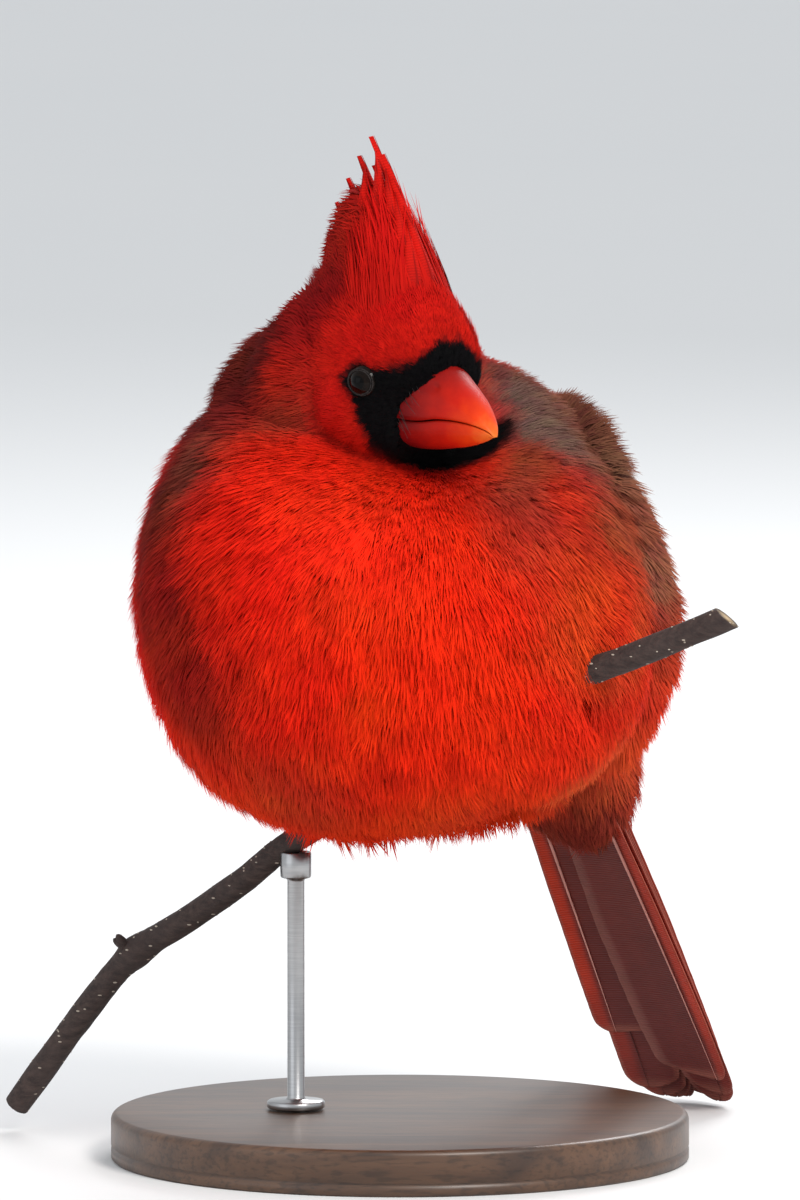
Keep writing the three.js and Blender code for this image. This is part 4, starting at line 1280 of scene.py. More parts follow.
def solid(name, points, faces, surface, slot, *nodes):
    parts = {"points": points, "faces": faces, "plumage": [], "barb": []}
    return closed(name, parts, surface, slot, *nodes)


# %% [markdown]
# ## The vanes' finish
# Close up, a vane shows hundreds of parallel barbs, each a soft ridge. A sine of the stored barb number
# draws them in colour and in relief, and a slow noise makes some a little worn and pale.


# %% Vane material
def vane_material(name, roughness, gloss=0.15):
    made, tree, shader = material(name, roughness, Specular_IOR_Level=gloss)
    angle = product(tree, stored_value(tree, "barb"), 2 * np.pi)
    wave = node(tree, "ShaderNodeMath", {0: angle}, operation="SINE").outputs[0]
    lines = remap(tree, wave, 0.86, 1.08, start=-1.0)
    wear = remap(tree, texture(tree, NOISE, Scale=260.0, Detail=4.0), 0.78, 1.25)
    colour = scaled(tree, stored_value(tree, "plumage", "Color"), product(tree, lines, wear))
    coloured(tree, shader, colour, wave, (0.35, 0.0001))
    return made


wing_finish = vane_material("wing vanes", 0.68, 0.06)
tail_finish = vane_material("tail vanes", 0.5)
lock_finish = vane_material("crest vanes", 0.75, 0.06)
print("vane nodes:", len(wing_finish.node_tree.nodes))

# %% [markdown]
# ## Locks of the crest
# The crest's longest feathers stick together in a few pointed locks. Each is a narrow vane from the
# crown to its own tip, on both sides of the middle, so the crest ends in points and not in a fringe.

# %% Locks of the crest
LOCKS = (
    # tip: back, up; root: across, back, up; half width, turn from straight ahead
    (15.2, 37.6, 1.6, 4, 15, 1.9, 48),
    (11.4, 35.4, 1.8, 0, 13, 1.8, 30),
    (8.2, 32, 2, -3.5, 11.5, 1.8, 18),
    (4.6, 28, 2.4, -6.5, 9, 1.8, 10),
    (13.4, 33, 3.4, 3, 10.5, 2.1, 58),
    (17.6, 33.6, 2.6, 9, 14, 1.9, 75),
    (20, 29, 4, 12, 11, 2, 84),
    (22.6, 24, 5, 15, 8, 2, 96),
    (15, 27.5, 5, 6, 7.5, 2.2, 70),
    (9.6, 26, 4.4, -1, 8, 2.1, 45),
)
LOCK_DARK = linear(138, 16, 12)
LOCK_RED = linear(190, 22, 14)


def lock_place(root, tip, facing):
    reach = np.linalg.norm(tip - root)
    way = (tip - root) / reach
    aside = unit(np.cross(way, np.array([np.sin(facing), -np.cos(facing), 0])))
    basis = np.stack([aside, np.cross(aside, way), way])

    def place(down, across, lift):
        bow = 1.3 * np.sin(np.pi * np.clip(down / reach, 0, 1))
        return to_world(np.stack(np.broadcast_arrays(across, lift + bow, down), axis=-1) @ basis + root, HEAD)

    return place


def lock_paint(share, c):
    colour = blend(LOCK_DARK, LOCK_RED, smooth(share, 0.1, 0.7))
    return colour * (1 - 0.25 * np.exp(-((c / 0.3) ** 2)))[..., None]


lock_parts = gathered()
for side in (1, -1):
    for number, (back, up, root_x, root_y, root_z, half, facing) in enumerate(LOCKS):
        tip = np.array([side * 0.15, back + side * 0.9, up - (side < 0) * 2])
        root = np.array([side * root_x, root_y, root_z])
        share = np.linspace(0, 1, 30)
        taper = half * np.interp(share, (0, 0.35, 0.7, 1), (0.5, 1, 0.6, 0.03))
        feather(
            lock_parts,
            lock_place(root, tip, np.radians(side * facing)),
            np.linalg.norm(tip - root) * share,
            0.3 * np.sin(share * 3 + number),
            taper,
            taper,
            lambda across, c: 0 * across - 0.5 * np.abs(c) ** 2,
            lock_paint,
            LOCK_DARK,
            rows=30,
            side_columns=3,
        )
closed("crest_locks", lock_parts, lock_finish, "plumage")

# %% [markdown]
# ## Tail
# Twelve tail feathers, folded into a narrow stack: the middle pair on top, the outer pair below. Seen
# from below they are dull brown with pinkish shafts, and the outer vanes keep some red.

# %% Tail
TAIL_LENGTH = 86
TAIL_START = -7
TAIL_SHARES = (0, 0.16, 0.45, 0.78, 0.93, 1)
TAIL_TAPER = (0.35, 0.8, 0.97, 1, 0.97, 0.86)
RECTRICES = (
    # place of the shaft, outer width, inner width, length
    (1.2, 6.6, 6.3, 86),
    (2.7, 5.8, 2.55, 86),
    (4.4, 5.1, 4.25, 85.5),
    (6.1, 4.5, 5.95, 84.5),
    (7.9, 4.1, 7.75, 82),
    (9.7, 3.6, 12.6, 77),
)
STACKS = {1: (3, 4, 5, 6, 7, 9), -1: (2, 4, 5, 6, 7, 8)}
TAIL_LAYER = 0.9
TAIL_BROWN = linear(108, 46, 40)
TAIL_DUSK = linear(96, 38, 34)
TAIL_RED = linear(186, 52, 28)
TAIL_EDGE = linear(154, 92, 78)
TAIL_MORE = 2.5  # of loose tip beyond the solid feathers
SHAFT_PALE = linear(214, 150, 138)
SHAFT_DARK = linear(70, 30, 26)


def tail_place(side):
    def place(z, x, lift):
        share = z / -TAIL_LENGTH
        y = lift - 0.009 * x * x - 2.2 * share * share
        local = np.stack(np.broadcast_arrays(x * side, y, z), axis=-1)
        return to_world(local, TAIL)

    return place


def tail_paint(rank, side):
    def paint(share, c):
        colour = TAIL_BROWN + (TAIL_DUSK - TAIL_BROWN) * smooth(share, 0.3, 0.95)[..., None]
        red = smooth(c, 0.05, 0.5) * (1 - 0.55 * smooth(share, 0.75, 1)) * (0.6 if rank in (1, 2, 3, 4) else 1)
        # on one side the inner vanes of the two outer feathers are red only in their upper half; the brown further
        # down is painted shade
        if side < 0 and rank > 3:
            red = np.maximum(red, 0.75 * smooth(-c, 0.2, 0.7) * (1 - smooth(share, 0.45, 0.8)))
        colour = colour + (TAIL_RED - colour) * (red * (0.9 if rank == 5 else 0.7))[..., None]
        edge = np.maximum(smooth(np.abs(c), 0.86, 1), smooth(share, 0.965, 1)) * 0.55
        return colour + (TAIL_EDGE - colour) * edge[..., None]

    return paint


tail_parts = gathered()
for side in (1, -1):
    for rank, (shaft_place, outer, inner, long) in enumerate(RECTRICES):
        long = long + TAIL_MORE - (8 if rank == 5 and side < 0 else 0)
        share = 1 - np.linspace(1, 0, 44) ** 1.7
        width = np.interp(share, TAIL_SHARES, TAIL_TAPER)
        width = np.minimum(width, np.sqrt(np.maximum(1 - ((share - 0.93) / 0.07).clip(0, 1) ** 2, 0.002)))
        layer = (5.5 - STACKS[side][rank]) * TAIL_LAYER
        gather = 0.45 if side > 0 else 0.2
        feather(
            tail_parts,
            tail_place(side),
            TAIL_START + (-long - TAIL_START) * share,
            shaft_place * (1 - gather * (1 - share)),
            inner * width,
            outer * width,
            lambda across, c, layer=layer: layer + 0 * across,
            tail_paint(rank, side),
            SHAFT_PALE if rank == 5 else SHAFT_DARK,
            rows=44,
        )
root_turn = np.linspace(0, 2 * np.pi, 20, endpoint=False)
root_rings = [
    to_world(np.stack([w * np.cos(root_turn), d * np.sin(root_turn), np.full(20, z)], axis=1), TAIL)
    for z, w, d in ((-6.8, 6.4, 3.3), (-16, 7.4, 3.4), (-21, 6, 2.6))
]
add(tail_parts, *loft(root_rings), TAIL_RED, 0.0)
closed("tail_feathers", tail_parts, tail_finish, "tail_feathers", "tail")

# %% [markdown]
# ## Wings
# A folded wing is a roof of five tiers. The long primaries and secondaries carry the flight; tertials
# and two rows of coverts lie over them. Each vane lies over the next one in, like shingles.

# %% Wings
WING_TIERS = (
    # count, spacing, width, height at root and tip, root along and across, tips along, tip across and step
    (6, 2.3, 4.8, 0, 0, 14, -2, 2.3, (56, 61, 64, 64, 62.5, 60.5), 0.6, 2.1),
    (5, 3, 6, 0.3, 1.2, 14, 9, 3, (55, 54.2, 53.4, 52.6, 51.8), 8, 2.7),
    (3, 4, 8, 1.2, 2.4, 12, 16, 4, (51, 46, 40), 14.5, 3.6),
    (6, 4.5, 7, 0.6, 2.6, 8, 1, 4.5, (27, 26.3, 25.6, 24.9, 24.2, 23.5), 0.5, 4.5),
    (5, 5.2, 7.8, -0.6, 3.1, -1, 2.4, 5.2, (15.5,) * 5, 1.8, 5.2),
)
WING_DARK = linear(72, 46, 42)
WING_GREY = linear(92, 56, 46)
WING_RED = linear(134, 42, 30)
WING_PALE = linear(112, 64, 52)
WING_MANTLE = linear(118, 55, 42)
WING_RED_SHARE = (0.8, 0.7, 0.4, 0.6, 0.5)
WING_MANTLE_SHARE = (0, 0, 0.15, 0.35, 0.7)


def wing_surface(side):
    return lambda along, across, lift: to_world(wing_points(along, across, lift) * (side, 1, 1), BODY)


def wing_paint(tier):
    def paint(share, c):
        colour = WING_DARK + (WING_GREY - WING_DARK) * smooth(share, 0.1, 0.9)[..., None]
        colour = colour + (WING_MANTLE - colour) * WING_MANTLE_SHARE[tier]
        red = smooth(-c, 0.1, 0.75) * WING_RED_SHARE[tier] * (1 - 0.5 * smooth(share, 0.8, 1))
        colour = colour + (WING_RED - colour) * red[..., None]
        edge = np.maximum(smooth(np.abs(c), 0.8, 1), smooth(share, 0.9, 1)) * 0.35
        return colour + (WING_PALE - colour) * edge[..., None]

    return paint


for side, wing_name in ((1, "wing_left"), (-1, "wing_right")):
    wing_parts = gathered()
    for tier, (total, spacing, wide, low, high, from_along, from_across, step, tips_along, to_across, tip_step) in enumerate(
        WING_TIERS
    ):
        for i in range(total):
            share = np.linspace(0, 1, 34)
            taper = np.interp(share, (0, 0.4, 0.8, 1), (0.65, 1, 0.9, 0.55))
            taper = taper * np.sqrt(np.maximum(1 - ((share - 0.86) / 0.14).clip(0, 1) ** 2, 0.01))
            middle = from_across + step * i + (to_across + tip_step * i - from_across - step * i) * share
            level = low + (high - low) * share

            settle = 0.35 + 0.65 * smooth(share, 0, 0.4)

            def lift(across, c, middle=middle, level=level, settle=settle):
                offset = across - middle[:, None]
                return level[:, None] + (wide / 2 - offset) / spacing * 0.9 * settle[:, None]

            along = from_along + (tips_along[i] - from_along) * share
            feather(
                wing_parts,
                wing_surface(side),
                along,
                middle,
                taper * wide / 2,
                taper * wide / 2,
                lift,
                wing_paint(tier),
                SHAFT_DARK,
                side_columns=3,
            )
    closed(wing_name + "_feathers", wing_parts, wing_finish, "wing_feathers", wing_name)

# %% [markdown]
# ## Bill
# The bill is a short heavy cone with a curved ridge, a keeled lower half and a gape that dips at its
# corner. Each half is a loft of arches between a line of measured stations. Fine growth ridges run
# along it, and the nostrils are small pits near the forehead.

# %% Bill
BILL = np.array(
    [
        # forward, ridge, mouth line, chin, half width
        (5.0, 6.2, -5.2, -11.6, 7.4),
        (9.5, 5.8, -5.3, -10.9, 7.1),
        (13.5, 4.6, -4.6, -9.9, 6.2),
        (16.5, 3.3, -3.6, -8.9, 5.2),
        (19.5, 1.9, -3.0, -7.9, 4.3),
        (22.3, 0.3, -2.8, -6.7, 3.2),
        (24.8, -1.5, -3.0, -5.4, 2.0),
        (26.4, -2.9, -3.5, -4.3, 1.0),
        (27.2, -3.9, -4.2, -4.7, 0.35),
    ]
)
MOUTH_GAP = 0.3
NOSTRIL = np.array([4.6, -14.6, 1.7])
stations = smooth_path(BILL, 70)


def bill_half(upper):
    rings = []
    for forward, ridge, mouth, chin, half in stations if upper else stations[:-3]:
        edge, keel = (mouth + MOUTH_GAP / 2, ridge) if upper else (mouth - MOUTH_GAP / 2, chin)
        half = half if upper else half * 0.93
        turn = np.linspace(0, np.pi, 40)
        lift = np.sin(turn) ** 0.85
        arch = np.stack([half * np.cos(turn), np.full(40, -forward), edge + (keel - edge) * lift], axis=1)
        ridges = 1 + 0.008 * np.sin(turn * 22) * np.sin(turn)
        arch[:, 0] *= ridges
        for side in (1, -1):
            gap = (arch - NOSTRIL * (side, 1, 1)) / (0.9, 1.25, 0.6)
            arch[:, 0] -= side * 0.8 * np.exp(-(gap**2).sum(1)) * upper
        across = np.linspace(-0.9, 0.9, 8)[:, None] * (half, 0, 0)
        floor_row = across + (0, -forward, edge)
        rings.append(to_world(np.vstack([arch, floor_row]), HEAD))
    return loft(rings)


# %% [markdown]
# ## The bill's finish
# Horn is smooth: orange at the worn tip and dark red at the base. The colour follows the distance from
# the tip, made uneven by a noise that is drawn out along the bill.

# %% Bill material
horn, horn_tree, horn_shader = material(
    "bill horn", 0.4, Coat_Weight=0.04, Coat_Roughness=0.25, Specular_IOR_Level=0.08
)
horn_place = node(horn_tree, "ShaderNodeTexCoord").outputs["Object"]
bill_tip = Vector(to_world(np.array([[0, -27.2, -4.2]]), HEAD)[0] * MM)
from_tip = node(horn_tree, "ShaderNodeVectorMath", {0: horn_place, 1: bill_tip}, operation="DISTANCE")
along_bill = node(
    horn_tree, "ShaderNodeMapping", {"Vector": horn_place, "Rotation": (0.2, 0, -0.66), "Scale": (1, 0.3, 1)}
)
horn_noise = node(
    horn_tree, "ShaderNodeTexNoise", {"Vector": along_bill.outputs[0], "Scale": 520.0, "Detail": 6.0}
)
uneven = node(
    horn_tree,
    "ShaderNodeMath",
    {0: horn_noise.outputs["Fac"], 1: 0.005, 2: from_tip.outputs["Value"]},
    operation="MULTIPLY_ADD",
)
reach = node(horn_tree, "ShaderNodeMapRange", {"Value": uneven.outputs[0], "From Min": 0.0025, "From Max": 0.022})
horn_ramp = node(horn_tree, "ShaderNodeValToRGB", {"Fac": reach.outputs[0]})
horn_stops = horn_ramp.color_ramp.elements
horn_stops[0].color = rgba(linear(222, 112, 44))
horn_stops[1].position, horn_stops[1].color = 0.92, rgba(linear(108, 12, 14))
horn_stops.new(0.22).color = rgba(linear(208, 56, 14))
horn_stops.new(0.5).color = rgba(linear(176, 26, 12))
horn_tree.links.new(horn_ramp.outputs["Color"], horn_shader.inputs["Base Color"])
horn_bump = node(horn_tree, "ShaderNodeBump", {"Height": horn_noise.outputs["Fac"], "Strength": 0.25, "Distance": 0.0002})
horn_tree.links.new(horn_bump.outputs[0], horn_shader.inputs["Normal"])
solid("bill_top", *bill_half(True), horn, "bill", "bill_upper")
solid("bill_bottom", *bill_half(False), horn, "bill", "bill_lower")

# %% [markdown]
# ## Eyes
# The eye is a dark ball with a bulging clear front, so it shows one small hard highlight. The iris is a
# very dark brown round a black pupil; a thin grey rim of bare skin, finely folded, frames it.

# %% Eye materials
eye_finish, eye_tree, eye_shader = material("eye", 0.07, Specular_IOR_Level=0.1)
pupil = node(eye_tree, "ShaderNodeAttribute", attribute_name="barb")
iris_place = node(eye_tree, "ShaderNodeTexCoord").outputs["Object"]
fibres = node(eye_tree, "ShaderNodeTexNoise", {"Vector": iris_place, "Scale": 2200.0, "Detail": 4.0})
iris_ramp = node(eye_tree, "ShaderNodeValToRGB", {"Fac": pupil.outputs["Fac"]})
iris_ramp.color_ramp.elements[0].position, iris_ramp.color_ramp.elements[0].color = 0.34, (0.0015, 0.0012, 0.0012, 1)
iris_ramp.color_ramp.elements[1].position, iris_ramp.color_ramp.elements[1].color = 0.42, (0.011, 0.006, 0.004, 1)
iris = node(
    eye_tree,
    "ShaderNodeVectorMath",
    {0: iris_ramp.outputs["Color"], "Scale": fibres.outputs["Fac"]},
    operation="SCALE",
)
eye_tree.links.new(iris.outputs[0], eye_shader.inputs["Base Color"])

RIM_CELLS = {"kind": CELLS, "Scale": 3200.0}
RIM_TONES = (0.04, 0.034, 0.032, 1), (0.006, 0.005, 0.005, 1)
lid_finish = grained("eye rim", 0.7, RIM_CELLS, *RIM_TONES, Specular_IOR_Level=0.1)
print("eye materials:", eye_finish.name, lid_finish.name)

# %% Eyes and rims
RIM = {"radius": 2.28, "thick": 0.12, "squash": 0.9}
rim_parts = gathered()
for side, eye_name in ((1, "eye_left"), (-1, "eye_right")):
    way = unit(np.array([side * EYE["side"], -EYE["ahead"], EYE["up"]]))
    reach = head_radius(way[None])[0]
    sunk = np.sqrt((EYE["radius"] + 0.35) ** 2 - EYE["opening"] ** 2)
    up = unit(np.array([0, 0, 1.0]) - way * way[2])
    aside = np.cross(up, way)
    rings, shares = [], []
    for angle in np.linspace(0.02, np.pi - 0.02, 40):
        turn = np.linspace(0, 2 * np.pi, 48, endpoint=False)[:, None]
        radius = EYE["radius"] + 0.28 * np.exp(-((angle / 0.42) ** 2))
        ring = way * radius * np.cos(angle) + radius * np.sin(angle) * (np.cos(turn) * aside + np.sin(turn) * up)
        rings.append(to_world(ring + way * (reach - sunk + 0.25), HEAD))
        shares += [angle] * 48
    points, faces = loft(rings)
    ball = gathered()
    add(ball, points, faces, (0, 0, 0), shares + [0, np.pi])
    closed(eye_name + "_ball", ball, eye_finish, "eye", eye_name)
    for lid, lift in ((1, 0.08), (1.1, -0.15)):
        turn = np.linspace(0, 2 * np.pi, 73)[:-1]
        width = RIM["radius"] * lid
        level = way * (reach + lift)
        oval = np.cos(turn)[:, None] * aside + RIM["squash"] * np.sin(turn)[:, None] * up
        middle = level + width * oval
        outwards = unit(middle - level)
        small = np.linspace(0, 2 * np.pi, 9)[:-1]
        grid = middle[:, None] + RIM["thick"] * lid * (
            np.cos(small)[None, :, None] * outwards[:, None] + np.sin(small)[None, :, None] * way
        )
        grid = to_world(grid.reshape(-1, 3), HEAD)
        faces = [
            (a * 8 + b, a * 8 + (b + 1) % 8, (a + 1) % 72 * 8 + (b + 1) % 8, (a + 1) % 72 * 8 + b)
            for a in range(72)
            for b in range(8)
        ]
        add(rim_parts, grid, faces, (0, 0, 0), 0.0)
closed("eye_rims", rim_parts, lid_finish, "scaly_skin")

# %% [markdown]
# ## Bristles
# Stiff black bristles stand at the corners of the mouth and over the nostrils. Each is a thin curved
# taper, rooted in the mask and bent along the bill.

# %% Bristles
BRISTLE_GRAIN = {"kind": NOISE, "Scale": 900.0}
BRISTLE_TONES = (0.004, 0.003, 0.003, 1), (0.03, 0.02, 0.018, 1)
bristle_finish = grained("bristle", 0.45, BRISTLE_GRAIN, *BRISTLE_TONES)
bristle_parts = gathered()
rng = np.random.default_rng(5)
for side in (1, -1):
    for i in range(22):
        share = i / 21
        turn = np.radians(-8 + 96 * share)
        root = np.array([side * 6.9 * np.cos(turn), -8.6 - 1.6 * share, -4.4 + 10.8 * np.sin(turn)])
        long = rng.uniform(3.2, 6.2) * (1 - 0.45 * share)
        way = unit(np.array([side * 0.35, -1.0, -0.25]) + rng.normal(0, 0.14, 3))
        t = np.linspace(0, 1, 8)[:, None]
        path = root + way * long * t + np.array([-side * 0.15, 0, -0.22]) * long * t**2
        add(bristle_parts, *tube(to_world(path, HEAD), 0.09 * (1 - 0.85 * t[:, 0]), 5), (0, 0, 0), 0.0)
closed("bristles", bristle_parts, bristle_finish, "plumage")

# %% [markdown]
# ## Feet
# Three toes close over the twig from the front and one from behind, each in a curved claw. The skin is
# scaled: rings of scutes on top of every toe, which we make by swelling the tube's radius in steps.

# %% Foot materials
SCALE_CELLS = {"kind": CELLS, "Scale": 1300.0}
SCALE_TONES = (0.13, 0.06, 0.045, 1), (0.05, 0.022, 0.018, 1)
SCALE_RELIEF = (0.3, 0.0001)
scale_finish = grained(
    "foot scales", 0.5, SCALE_CELLS, *SCALE_TONES, SCALE_RELIEF, Specular_IOR_Level=0.4
)
CLAW_GRAIN = {"kind": NOISE, "Scale": 700.0, "Detail": 3.0}
CLAW_TONES = (0.012, 0.008, 0.007, 1), (0.05, 0.032, 0.024, 1)
claw_finish = grained("claw horn", 0.3, CLAW_GRAIN, *CLAW_TONES)
print("foot materials:", scale_finish.name, claw_finish.name)

# %% Feet
TOES = ((-3.1, 96, -78, 1.05), (0, 96, -98, 1.05), (3.1, 96, -78, 1.05), (0, 84, 236, 1.15))
CLAW_SHARE = 0.8
SHANK = {"radius": 1.25, "length": 11}
claw_parts = gathered()
for x, leg_name in ((11, "leg_left"), (-9, "leg_right")):
    middle, along = twig_at(x)
    up = unit(np.array([0, 0, 1.0]) - along * along[2])
    front = np.cross(up, along)
    front = -front if front[1] > 0 else front
    leg_parts = gathered()
    for shift, start, end, thick in TOES:
        share = np.linspace(0, 1, 90)
        turn = np.radians(start + (end - start) * share)[:, None]
        off = TWIG_RADIUS + 0.5 + thick
        rest = smooth(share, -0.1, 0.5)[:, None] * shift
        line = middle + along * rest + (front * np.cos(turn) + up * np.sin(turn)) * off
        scutes = 1 + 0.07 * (np.abs((share * 13) % 1 - 0.5) * 2) ** 0.5 + 0.06 * np.cos(share * 22)
        toe = share < CLAW_SHARE + 0.02
        radius = thick * scutes * np.where(share > CLAW_SHARE - 0.04, 0.85, 0.95)
        add(leg_parts, *tube(line[toe], radius[toe], 14), (0, 0, 0), 0.0)
        claw = share > CLAW_SHARE - 0.03
        taper = thick * 0.62 * (1 - ((share[claw] - CLAW_SHARE + 0.03) / (1.03 - CLAW_SHARE)) ** 1.2) + 0.06
        add(claw_parts, *tube(line[claw], taper, 12), (0, 0, 0), 0.0)
    ankle = middle + up * (TWIG_RADIUS + 1.65)
    knee = ankle + up * SHANK["length"] - front * 3
    share = np.linspace(0, 1, 60)
    line = ankle + (knee - ankle) * share[:, None]
    scutes = 1 + 0.06 * (np.abs((share * 8) % 1 - 0.5) * 2) ** 0.5
    radius = SHANK["radius"] * scutes * (1.12 - 0.2 * np.sin(np.pi * share))
    add(leg_parts, *tube(line, radius, 14), (0, 0, 0), 0.0)
    closed(leg_name + "_foot", leg_parts, scale_finish, "scaly_skin", leg_name)
closed("claws", claw_parts, claw_finish, "scaly_skin")

# %% [markdown]
# ## Perch
# The twig is dark, smooth young bark, finely cracked along its length, with one knot and slanting cuts.
# It is a loft along the line with a little noise, and its right end is planed off to the cut.

# %% Perch
KNOT = {"share": 0.215, "rise": 0.7, "spread": 0.018}
CUT_AT = np.array([55.6, -47, 98.8])
CUT_FACING = unit(np.array([-0.6, 0.1, -0.79]))
PERCH_SIDES = 30
share = np.linspace(0, 1, len(twig_line))
swell = KNOT["rise"] * np.exp(-(((share - KNOT["share"]) / KNOT["spread"]) ** 2))
centre_noise = ripple(twig_line, 9, 61) * 0.1
points, faces = tube(twig_line, TWIG_RADIUS + swell + centre_noise, PERCH_SIDES)
points = np.array(points)
along_each = np.vstack([np.repeat(twig_ways, PERCH_SIDES, axis=0), twig_ways[[0, -1]]])
outwards = points - np.vstack([np.repeat(twig_line, PERCH_SIDES, axis=0), twig_line[[0, -1]]])
grain = ripple(points - along_each * (points * along_each).sum(1, keepdims=True) * 0.85, 1.1, 67) * 0.07
points = points + unit(outwards) * grain[:, None]
beyond = ((points - CUT_AT) @ CUT_FACING)[:, None]
points = np.where(beyond < 0, points - along_each * beyond / (along_each @ CUT_FACING)[:, None], points)
bark_parts = gathered()
end_wood = np.zeros(len(points))
end_wood[-2:] = 1
add(bark_parts, points, faces, (0, 0, 0), end_wood)
print("perch length:", round(float(np.linalg.norm(np.diff(twig_line, axis=0), axis=1).sum())), "mm")

# %% [markdown]
# ## Bark
# Bark is matt and dark grey-brown, paler on its ridges, with fine cracks. The cut faces show pale wood;
# a stored number marks them. The knot carries a small bud with overlapping scales.

# %% Bark material and bud
bark, bark_tree, bark_shader = material("bark", 0.78, Specular_IOR_Level=0.25)
bark_place = node(bark_tree, "ShaderNodeTexCoord").outputs["Object"]
stretched = node(bark_tree, "ShaderNodeMapping", {"Vector": bark_place, "Rotation": (0, -0.62, 0), "Scale": (0.25, 1, 1)})
cracks = node(bark_tree, "ShaderNodeTexNoise", {"Vector": stretched.outputs[0], "Scale": 900.0, "Detail": 8.0, "Roughness": 0.7})
patches = node(bark_tree, "ShaderNodeTexNoise", {"Vector": bark_place, "Scale": 130.0, "Detail": 3.0})
bark_ramp = node(bark_tree, "ShaderNodeValToRGB", {"Fac": cracks.outputs["Fac"]})
bark_ramp.color_ramp.elements[0].position, bark_ramp.color_ramp.elements[0].color = 0.36, rgba(linear(34, 26, 25))
bark_ramp.color_ramp.elements[1].position, bark_ramp.color_ramp.elements[1].color = 0.66, rgba(linear(84, 68, 62))
weathered = node(
    bark_tree,
    "ShaderNodeMix",
    {0: patches.outputs["Fac"], 6: bark_ramp.outputs["Color"], 7: rgba(linear(64, 54, 52))},
    data_type="RGBA",
)
end_mark = node(bark_tree, "ShaderNodeAttribute", attribute_name="barb")
end_colour = node(
    bark_tree,
    "ShaderNodeMix",
    {0: end_mark.outputs["Fac"], 6: weathered.outputs[2], 7: rgba(linear(186, 160, 124))},
    data_type="RGBA",
)
bark_tree.links.new(end_colour.outputs[2], bark_shader.inputs["Base Color"])
bark_bump = node(bark_tree, "ShaderNodeBump", {"Height": cracks.outputs["Fac"], "Strength": 0.6, "Distance": 0.0004})
bark_tree.links.new(bark_bump.outputs[0], bark_shader.inputs["Normal"])
knot_at = twig_line[int(KNOT["share"] * len(twig_line))]
bud_way = unit(np.array([-0.75, -0.35, 0.6]))
for turn in (0, 1, 2):
    t = np.linspace(0, 1, 14)
    tilt = 0.3 * np.array([np.cos(turn * 2.1), np.sin(turn * 2.1), 0])
    line = knot_at + bud_way * 1.6 + unit(bud_way + tilt) * (3.6 - 0.5 * turn) * t[:, None]
    add(bark_parts, *tube(line, 1.15 * np.sqrt(np.maximum(1 - t**1.6, 0.004)) * (0.75 + 0.3 * t), 12), (0, 0, 0), 0.0)
perch = closed("twig", bark_parts, bark, "bark", "perch")

# %% [markdown]
# ## Lenticels
# Young bark breathes through small pale pores. They repeat without order, so Geometry Nodes scatter
# flat grains over the twig, turned across it, realize them and give them their own finish.

# %% Lenticels
PORE_TONES = rgba(linear(130, 116, 104)), rgba(linear(196, 184, 168))
pore = grained("lenticel", 0.8, {"kind": NOISE, "Scale": 1500.0}, *PORE_TONES)

scatter_tree, given = geometry_tree("Lenticels", Density="Float", Size="Float", Surface="Material")
spots = node(
    scatter_tree,
    "GeometryNodeDistributePointsOnFaces",
    {"Mesh": given["Geometry"], "Density": given["Density"], "Seed": 8},
)
grain_mesh = node(scatter_tree, "GeometryNodeMeshIcoSphere", {"Radius": given["Size"], "Subdivisions": 2})
varied = node(scatter_tree, "FunctionNodeRandomValue", {0: (0.5, 0.3, 0.2), 1: (1.2, 0.55, 0.34), "Seed": 2}, data_type="FLOAT_VECTOR")
laid = node(
    scatter_tree,
    "GeometryNodeInstanceOnPoints",
    {
        "Points": spots.outputs["Points"],
        "Instance": grain_mesh.outputs[0],
        "Rotation": spots.outputs["Rotation"],
        "Scale": varied.outputs[0],
    },
)
real_spots = node(scatter_tree, "GeometryNodeRealizeInstances", {"Geometry": laid.outputs[0]})
marked = node(scatter_tree, "GeometryNodeSetMaterial", {"Geometry": real_spots.outputs[0], "Material": given["Surface"]})
node(scatter_tree, "NodeGroupOutput", {"Geometry": marked.outputs[0]})

values = {"Density": 0.11 / MM**2, "Size": 0.34 * MM, "Surface": pore}
lenticels = grown("lenticels", perch.data, scatter_tree, values)
lenticels.data.shade_smooth()
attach(lenticels, "root")
print("lenticel faces:", len(lenticels.data.polygons))

# %% [markdown]
# ## Stand
# The stand is plain on purpose: a turned disc of dark oiled wood and a brushed steel rod, with a flange
# below and a cup that carries the twig. Both are turned shapes, so one helper spins their outlines.


# %% Turned shapes
def turned_shape(outline, centre, sides=128):
    """A lathe: rings round a vertical line, from (radius, height) pairs."""
    return loft([level_ring(sides, r, r, (centre[0], centre[1], z)) for r, z in outline])


wood, wood_tree, wood_shader = material("oiled wood", 0.42, Coat_Weight=0.2, Coat_Roughness=0.3)
wood_place = node(wood_tree, "ShaderNodeTexCoord").outputs["Object"]
wood_grain = node(wood_tree, "ShaderNodeMapping", {"Vector": wood_place, "Scale": (0.12, 1, 1)})
rings_noise = node(wood_tree, "ShaderNodeTexNoise", {"Vector": wood_grain.outputs[0], "Scale": 160.0, "Detail": 6.0, "Distortion": 0.6})
pores = node(wood_tree, "ShaderNodeTexNoise", {"Vector": wood_grain.outputs[0], "Scale": 1400.0, "Detail": 4.0})
wood_ramp = node(wood_tree, "ShaderNodeValToRGB", {"Fac": rings_noise.outputs["Fac"]})
wood_ramp.color_ramp.elements[0].position, wood_ramp.color_ramp.elements[0].color = 0.32, rgba(linear(58, 38, 26))
wood_ramp.color_ramp.elements[1].position, wood_ramp.color_ramp.elements[1].color = 0.68, rgba(linear(98, 68, 46))
pore_dark = node(wood_tree, "ShaderNodeMapRange", {"Value": pores.outputs["Fac"], "From Min": 0.36, "From Max": 0.5, "To Min": 0.6})
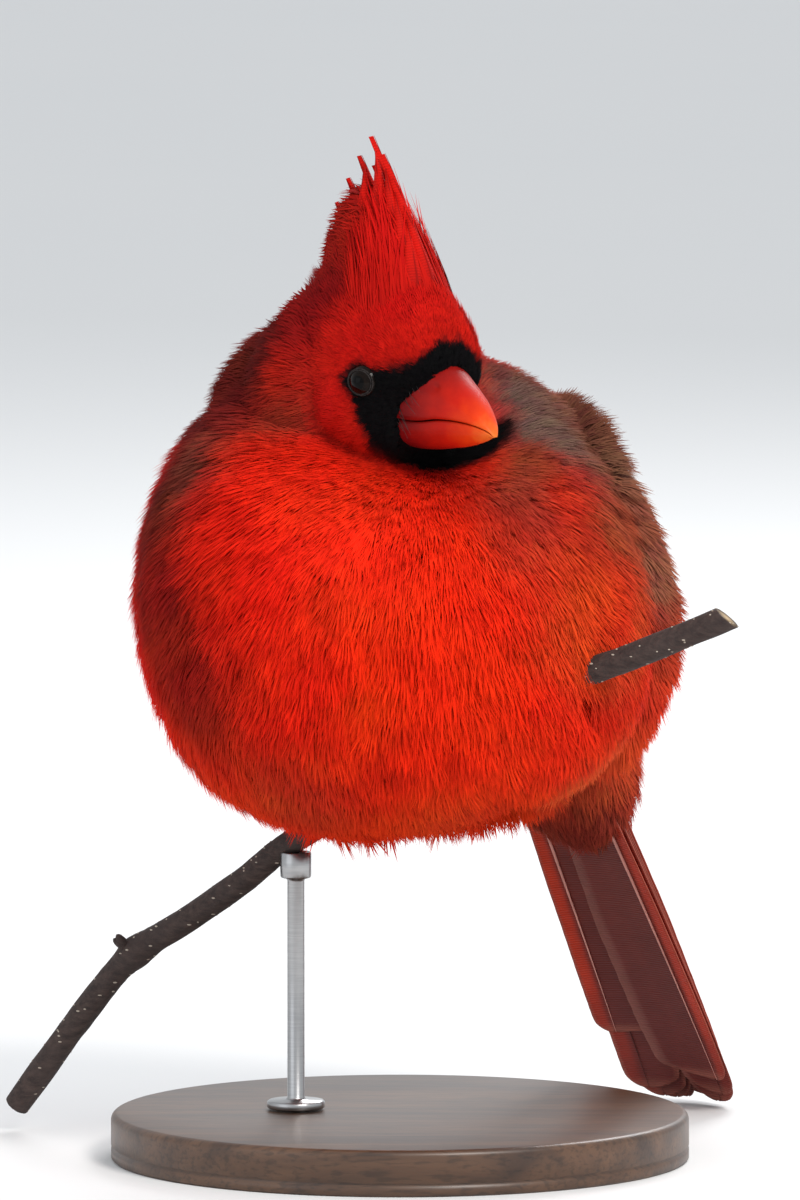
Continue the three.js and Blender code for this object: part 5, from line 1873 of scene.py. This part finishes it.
wood_colour = node(
    wood_tree,
    "ShaderNodeVectorMath",
    {0: wood_ramp.outputs["Color"], "Scale": pore_dark.outputs[0]},
    operation="SCALE",
)
wood_tree.links.new(wood_colour.outputs[0], wood_shader.inputs["Base Color"])
wood_bump = node(wood_tree, "ShaderNodeBump", {"Height": pores.outputs["Fac"], "Strength": 0.2, "Distance": 0.0002})
wood_tree.links.new(wood_bump.outputs[0], wood_shader.inputs["Normal"])

STEEL_STROKES = {"kind": NOISE, "stretch": {"Scale": (0.2, 0.2, 6)}, "Scale": 900.0, "Detail": 3.0}
STEEL_TONES = (0.3, 0.3, 0.31, 1), (0.5, 0.5, 0.5, 1)
steel = grained("brushed steel", 0.3, STEEL_STROKES, *STEEL_TONES, (0.08, 0.0001), Metallic=1.0)
print("stand materials:", wood.name, steel.name)

# %% Stand
BASE = {"radius": 50, "height": 8, "bevel": 1.2}
ROD = {"x": -18, "radius": 1.5, "foot": 5, "foot_height": 1.4, "cup": 2.7, "cup_height": 4.5}
bevel = [
    (BASE["radius"] - BASE["bevel"] * (1 - np.cos(a)), BASE["height"] - BASE["bevel"] * (1 - np.sin(a)))
    for a in np.linspace(0, np.pi / 2, 7)
]
groove = [(49.4, 2.2), (50, 2.6)]
outline = [(10, 0), (49.6, 0), (50, 0.4), (50, 1.8), *groove, *bevel, (30, 8), (8, 8)]
solid("stand_disc", *turned_shape(outline, (0, 0)), wood, "stand_wood", "stand_base")
rod_at, _ = twig_at(ROD["x"])
low, high = BASE["height"] + 0.35, rod_at[2] - TWIG_RADIUS - 0.45
cup_low = rod_at[2] - TWIG_RADIUS - ROD["cup_height"]
foot_top = low + ROD["foot_height"]
rod_outline = [
    (1, low), (4.8, low), (5, low + 0.2), (5, foot_top - 0.3), (4.7, foot_top), (1.8, foot_top + 0.1), (1.5, foot_top + 0.5),
    (1.5, cup_low - 0.4), (1.7, cup_low), (2.5, cup_low + 0.15), (2.7, cup_low + 0.4), (2.7, high + 0.4), (2.5, high + 0.6),
    (2.2, high + 0.4), (1.9, high - 0.1), (0.8, high - 0.3),
]
solid("stand_post", *turned_shape(rod_outline, rod_at, 64), steel, "stand_metal", "stand_rod")

# %% Finish
boxes = {"cad": cad_box, "visual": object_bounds()}
{name: [[float(v) for v in corner] for corner in box] for name, box in boxes.items()}
print("done")
